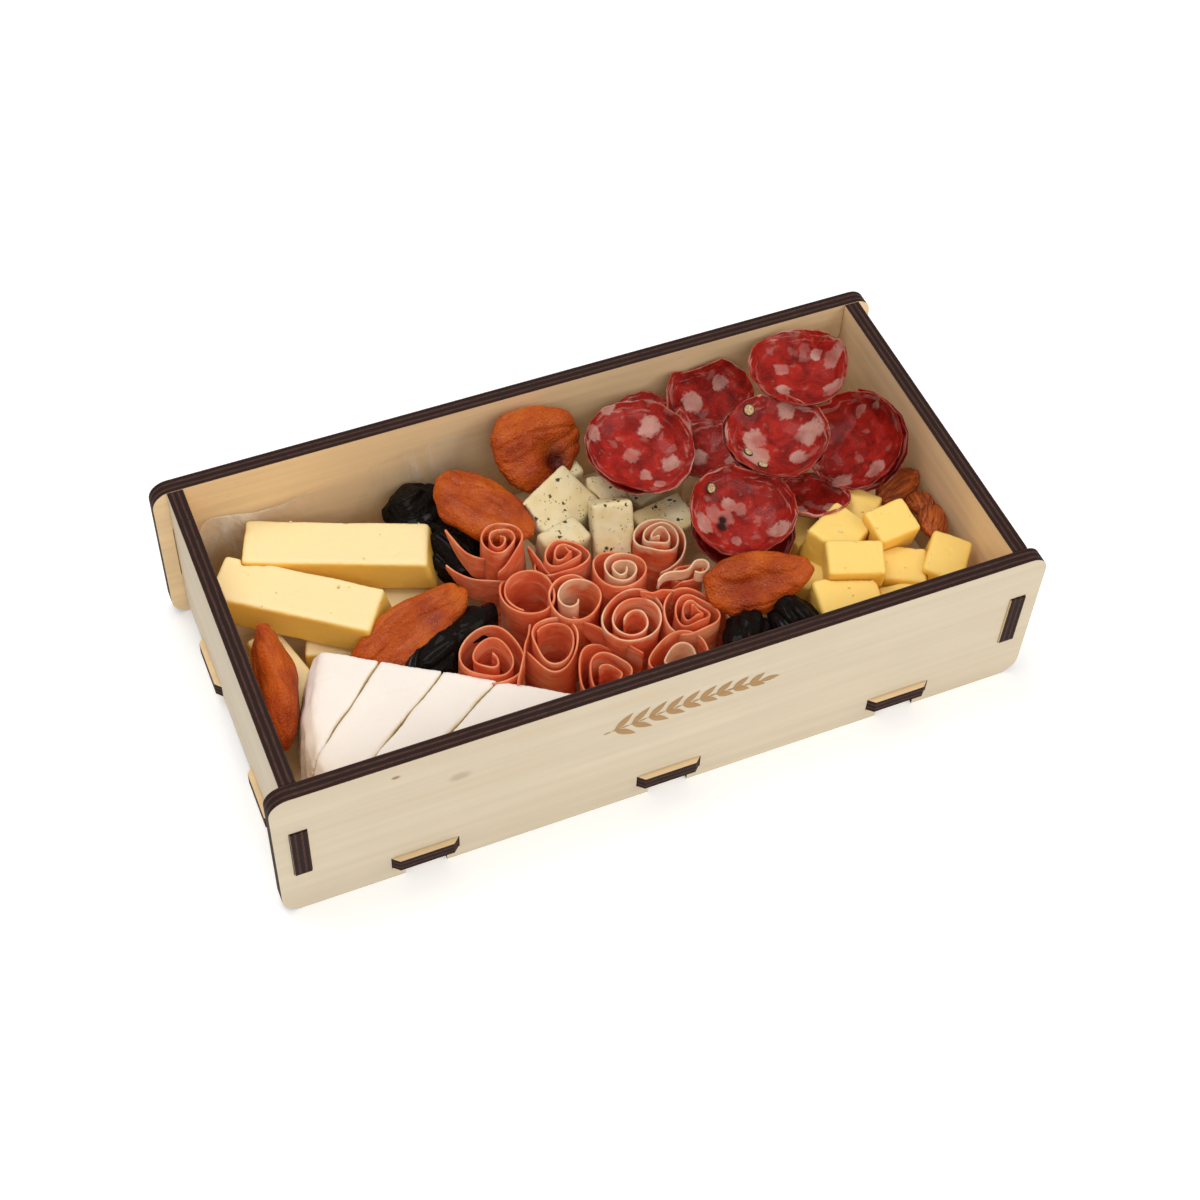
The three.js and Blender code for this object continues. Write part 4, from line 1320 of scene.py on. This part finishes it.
class CHARCUTERIE_OT_salami(PieceOperator):
    """Finish the salami slices and set their peppercorns"""

    bl_idname = "charcuterie.salami"
    bl_label = "Salami"

    THINNER = 0.28  # taken off each side
    BOWL, BOWL_RUN = 5.2, 12  # how high the rim stands over the middle, and how far in it starts
    SINK = 3.2  # how far the middle drops
    RUFFLE, RUFFLE_RUN = 1.7, 6
    TURN_IN, TURN_RUN = 1.3, 4
    FLAP_END = 21  # how far from the middle a flap's outer end lies
    UNDER_TURN = math.radians(40)  # of an under slice from the one that it lies under
    CORN_LIFT = 0.1
    CORN_TALL, CORN_CORE, CORN_DISH = 0.42, 0.72, 0.30  # shares of a peppercorn's radius

    def rim_tree(self, bm, spacing):
        """Points along the sharp edges of a slice, to measure how far in a point lies."""
        points = []
        for edge in bm.edges:
            if len(edge.link_faces) == 2 and edge.calc_face_angle() > 0.8:
                a, b = (v.co for v in edge.verts)
                count = max(1, int((b - a).length / spacing))
                points += [a.lerp(b, i / count) for i in range(count + 1)]
        tree = KDTree(len(points))
        for i, point in enumerate(points):
            tree.insert(point, i)
        tree.balance()
        return tree

    def field(self, point, spots):
        """1 in the middle of a spot, 0 at its edge and beyond."""
        best = 0.0
        for x, y, radius in spots:
            away = math.hypot(point[0] - x, point[1] - y)
            best = max(best, 1 - away / (1.6 * radius))
        return best

    def flap_move(self, away, facing, start, reach, height):
        """How far a point moves where one side of its slice is turned in."""
        toward = Vector((math.cos(math.radians(facing)), math.sin(math.radians(facing)), 0))
        past = max(0.0, away.dot(toward) - start) / (self.FLAP_END - start)
        aside = away - toward * away.dot(toward)
        aside.z = 0
        inward = toward * reach * past ** 2 + aside * 0.35 * past
        return Vector((0, 0, height * past ** 1.2)) - inward

    def slice_shape(self, bm, seed, middle, spots=(), slits=(), flap=None):
        """A thin bowl: its rim stands up, ruffled; flap turns one side in over the slice."""
        tree = self.rim_tree(bm, 0.5 * MM)
        *_, out = own_axes(bm)
        if out.z < 0:
            out.negate()
        bm = evened(bm, self.food.skin)
        soften(bm, 4)
        rim = bm.verts.layers.float.new("rim")
        fat = bm.verts.layers.float.new("fat")
        slit = bm.verts.layers.float.new("slit")
        ring = bm.verts.layers.float_vector.new("ring")

        def move(v):
            depth = tree.find(v.co)[2] / MM
            away = (v.co - middle) / MM
            angle = math.atan2(away.y, away.x)
            around = Vector((math.cos(angle), math.sin(angle), 0))
            v[rim] = depth
            v[ring] = Vector((angle * 18, depth + 0.6 * math.sin(3 * angle + seed), seed)) * MM
            v[fat] = self.field(away, spots)
            v[slit] = min(1.0, 2.2 * self.field(away, slits))
            lift = self.BOWL * max(0.0, 1 - depth / self.BOWL_RUN) ** 1.5 - self.SINK
            ruffle = noise.noise(around * 2.1 + Vector((0, 0, seed)))
            ruffle += 0.45 * noise.noise(around * 5.5 + Vector((0, 0, seed + 3)))
            lift += ruffle * self.RUFFLE * max(0.0, 1 - depth / self.RUFFLE_RUN)
            lift += wobble(Vector((v.co.x, v.co.y, 0)), 9 * MM, seed) * 0.5 - 0.5 * v[slit]
            inward = -around * self.TURN_IN * max(0.0, 1 - depth / self.TURN_RUN) ** 1.5
            total = v.normal * -self.THINNER + out * lift + inward
            return total + self.flap_move(away, *flap) if flap else total

        push_points(bm, move)
        soften(bm, 2)
        return bm

    def peppercorn(self, bm, surface, above, radius):
        """Half a peppercorn set into the slice below a point: a cut face inside a dark shell."""
        hit, normal, *_ = surface.ray_cast(above, Vector((0, 0, -1)))
        if hit is None:
            raise RuntimeError(f"a peppercorn at {above} misses its slice")
        at = hit + normal * self.CORN_LIFT * MM
        core = bm.verts.layers.float["core"]
        turn = normal.to_track_quat("Z", "Y").to_matrix().to_4x4()
        size = Matrix.Diagonal((radius, radius, radius * self.CORN_TALL, 1))
        place = Matrix.Translation(at) @ turn @ size
        made = bmesh.ops.create_uvsphere(bm, u_segments=20, v_segments=12, radius=1.0, matrix=place)
        inverse = place.inverted()
        for v in made["verts"]:
            own = inverse @ v.co
            out = math.hypot(own.x, own.y)
            v[core] = 1.0 if out < self.CORN_CORE and own.z > 0 else 0.0
            own.z -= v[core] * self.CORN_DISH * (1 - out)
            own.z += 0.12 * noise.noise(own * 2.7 + at * 900)
            v.co = place @ own

    def low_slice(self, pepper):
        """The slice that shows between the middle ones and the cubes, with its peppercorn."""
        disc = bmesh.new()
        centre = near("salami_5", 31, 5, -9)
        tilt = Matrix.Rotation(math.radians(-18), 4, "X") @ Matrix.Rotation(math.radians(8), 4, "Y")
        bmesh.ops.create_cone(
            disc, cap_ends=True, segments=40, radius1=18 * MM, radius2=18 * MM, depth=2 * MM,
            matrix=Matrix.Translation(centre) @ tilt,
        )
        bm = self.slice_shape(disc, 30.0, centre, [(-5, -3, 3.0), (6, -6, 2.4)])
        above = centre + Vector((3, -12, 40)) * MM
        self.peppercorn(pepper, BVHTree.FromBMesh(bm), above, 2.2 * MM)
        return bm

    def execute(self, context):
        material = salami_finish(self.food)
        pepper = bmesh.new()
        pepper.verts.layers.float.new("core")
        for seed, node in enumerate(nodes_of("salami")):
            marks = FAT_SPOTS.get(node, ()), SLITS.get(node, ()), FLAPS.get(node)
            bm = self.slice_shape(node_copy(node), seed * 1.7, near(node), *marks)
            if node in UNDER:
                middle = near(node, *UNDER[node])
                turn = Matrix.Rotation(self.UNDER_TURN, 4, "Z")
                lower = node_copy(node)
                lower.transform(Matrix.Translation(middle) @ turn @ Matrix.Translation(-near(node)))
                lower = self.slice_shape(lower, seed * 1.7 + 9, middle)
                finish_piece(lower, node.replace("salami", "salami_under"), material, "salami")
            surface = BVHTree.FromBMesh(bm)
            for right, back, radius in PEPPERCORNS.get(node, ()):
                above = near(node, right, back, 40)
                self.peppercorn(pepper, surface, above, radius * MM)
            finish_piece(bm, node.replace("salami", "salami_slice"), material, "salami", node)
        finish_piece(self.low_slice(pepper), "salami_slice_low", material, "salami")
        finish_piece(pepper, "peppercorns", pepper_finish(), "salami")
        return {"FINISHED"}


class CHARCUTERIE_OT_crumbs(PieceOperator):
    """Scatter cheese crumbs over the sticks and cubes"""

    bl_idname = "charcuterie.crumbs"
    bl_label = "Cheese crumbs"

    FALL = Vector((0.1, -0.5, -0.86))
    SIZES = (0.22, 0.6)
    ROUGH = 0.35  # share of a crumb's size

    def execute(self, context):
        rng = random.Random(11)
        bm = bmesh.new()
        pieces = [o for o in bpy.data.objects if o.name.startswith(("cut_stick", "cut_cube"))]
        for piece in sorted(pieces, key=lambda o: o.name):
            tree = BVHTree.FromObject(piece, context.evaluated_depsgraph_get())
            points = np.array([v.co for v in piece.data.vertices])
            low, high = Vector(points.min(0)), Vector(points.max(0))
            for _ in range(self.food.crumbs):
                x = low.x + (high.x - low.x) * rng.random()
                y = low.y + (high.y - low.y) * rng.random()
                start = Vector((x, y, high.z + 5 * MM))
                hit, normal, *_ = tree.ray_cast(start, self.FALL)
                if hit is None:
                    continue
                size = rng.uniform(*self.SIZES) * MM
                place = Matrix.Translation(hit + normal * 0.1 * MM)
                made = bmesh.ops.create_icosphere(bm, subdivisions=1, radius=size, matrix=place)
                for v in made["verts"]:
                    v.co += Vector([rng.uniform(-self.ROUGH, self.ROUGH) * size for _ in range(3)])
        material = firm_cheese_finish(self.food, "Cheese crumb", 1.1)
        finish_piece(bm, "cheese_crumbs", material, "firm_cheese")
        return {"FINISHED"}


class CHARCUTERIE_OT_stage(PieceOperator):
    """Set the floor, the lights and the camera"""

    bl_idname = "charcuterie.stage"
    bl_label = "Floor, light and camera"

    def area_light(self, name, at, size, power, colour=(1, 1, 1)):
        """A soft light, size wide and high, that looks at the middle of the box."""
        data = bpy.data.lights.new(name, "AREA")
        data.shape = "RECTANGLE"
        data.size, data.size_y = size
        data.energy = power
        data.color = colour
        light = link(name, data)
        light.location = at
        way = (CAD_BOX[0] + CAD_BOX[1]) / 2 - Vector(at)
        light.rotation_euler = way.to_track_quat("-Z", "Y").to_euler()

    def floor(self, stage):
        bm = bmesh.new()
        bmesh.ops.create_grid(bm, x_segments=4, y_segments=4, size=4.0)
        mesh = bpy.data.meshes.new("floor")
        bm.to_mesh(mesh)
        bm.free()
        mesh.materials.append(floor_finish(stage))
        link("floor", mesh)

    def sky(self, stage):
        world = bpy.data.worlds.new("Even sky")
        bpy.context.scene.world = world
        world.use_nodes = True
        background = world.node_tree.nodes["Background"]
        background.inputs["Color"].default_value = (1.0, 0.985, 0.96, 1)
        background.inputs["Strength"].default_value = stage.sky

    def camera(self, stage):
        data = bpy.data.cameras.new("Camera")
        data.sensor_width = 36
        data.lens = stage.lens
        data.clip_start = 0.01
        camera = link("Camera", data)
        turn = Matrix.Rotation(-stage.heading, 4, "Z")
        turn = turn @ Matrix.Rotation(math.pi / 2 - stage.look_down, 4, "X")
        turn = turn @ Matrix.Rotation(stage.tilt, 4, "Z")
        back = turn @ Vector((0, 0, 1))
        place = Vector(stage.aim) + back * stage.distance
        camera.matrix_world = Matrix.Translation(place) @ turn
        bpy.context.scene.camera = camera

    def execute(self, context):
        stage = context.scene.charcuterie_stage
        self.floor(stage)
        self.sky(stage)
        self.area_light("Key", (-0.25, 0.35, 1.25), (0.9, 0.7), stage.key_power)
        self.area_light("Front", (-0.25, -0.95, 1.0), (0.9, 0.6), stage.front_power)
        warm = (1.0, 0.97, 0.93)
        self.area_light("Fill", (0.9, -0.7, 0.8), (0.8, 0.8), stage.fill_power, warm)
        self.camera(stage)
        context.scene.view_settings.view_transform = "Standard"
        return {"FINISHED"}


class CHARCUTERIE_PT_panel(bpy.types.Panel):
    """The pieces of the charcuterie box"""

    bl_idname = "CHARCUTERIE_PT_panel"
    bl_label = "Charcuterie box"
    bl_space_type = "VIEW_3D"
    bl_region_type = "UI"
    bl_category = "Charcuterie"

    def draw(self, context):
        scene = context.scene
        for settings in (scene.charcuterie_box, scene.charcuterie_food, scene.charcuterie_stage):
            column = self.layout.column()
            for name in settings.__annotations__:
                column.prop(settings, name)
        for operator in OPERATORS:
            self.layout.operator(operator.bl_idname)


SETTINGS = (BoxSettings, FoodSettings, StageSettings)
OPERATORS = (
    CHARCUTERIE_OT_plywood,
    CHARCUTERIE_OT_sprig,
    CHARCUTERIE_OT_liner,
    CHARCUTERIE_OT_firm_cheese,
    CHARCUTERIE_OT_brie,
    CHARCUTERIE_OT_herb_cheese,
    CHARCUTERIE_OT_apricots,
    CHARCUTERIE_OT_prunes,
    CHARCUTERIE_OT_almonds,
    CHARCUTERIE_OT_ham,
    CHARCUTERIE_OT_salami,
    CHARCUTERIE_OT_crumbs,
    CHARCUTERIE_OT_stage,
)


def register():
    for kind in (*SETTINGS, *OPERATORS, CHARCUTERIE_PT_panel):
        bpy.utils.register_class(kind)
    bpy.types.Scene.charcuterie_box = PointerProperty(type=BoxSettings)
    bpy.types.Scene.charcuterie_food = PointerProperty(type=FoodSettings)
    bpy.types.Scene.charcuterie_stage = PointerProperty(type=StageSettings)


def unregister():
    del bpy.types.Scene.charcuterie_stage
    del bpy.types.Scene.charcuterie_food
    del bpy.types.Scene.charcuterie_box
    for kind in reversed((*SETTINGS, *OPERATORS, CHARCUTERIE_PT_panel)):
        bpy.utils.unregister_class(kind)


def main():
    """Makes the whole box, piece by piece."""
    register()
    bpy.ops.charcuterie.plywood()
    bpy.ops.charcuterie.sprig()
    bpy.ops.charcuterie.liner()
    bpy.ops.charcuterie.firm_cheese()
    bpy.ops.charcuterie.brie()
    bpy.ops.charcuterie.herb_cheese()
    bpy.ops.charcuterie.apricots()
    bpy.ops.charcuterie.prunes()
    bpy.ops.charcuterie.almonds()
    bpy.ops.charcuterie.ham()
    bpy.ops.charcuterie.salami()
    bpy.ops.charcuterie.crumbs()
    bpy.ops.charcuterie.stage()
    bpy.context.view_layer.update()


if __name__ == "__main__":
    main()
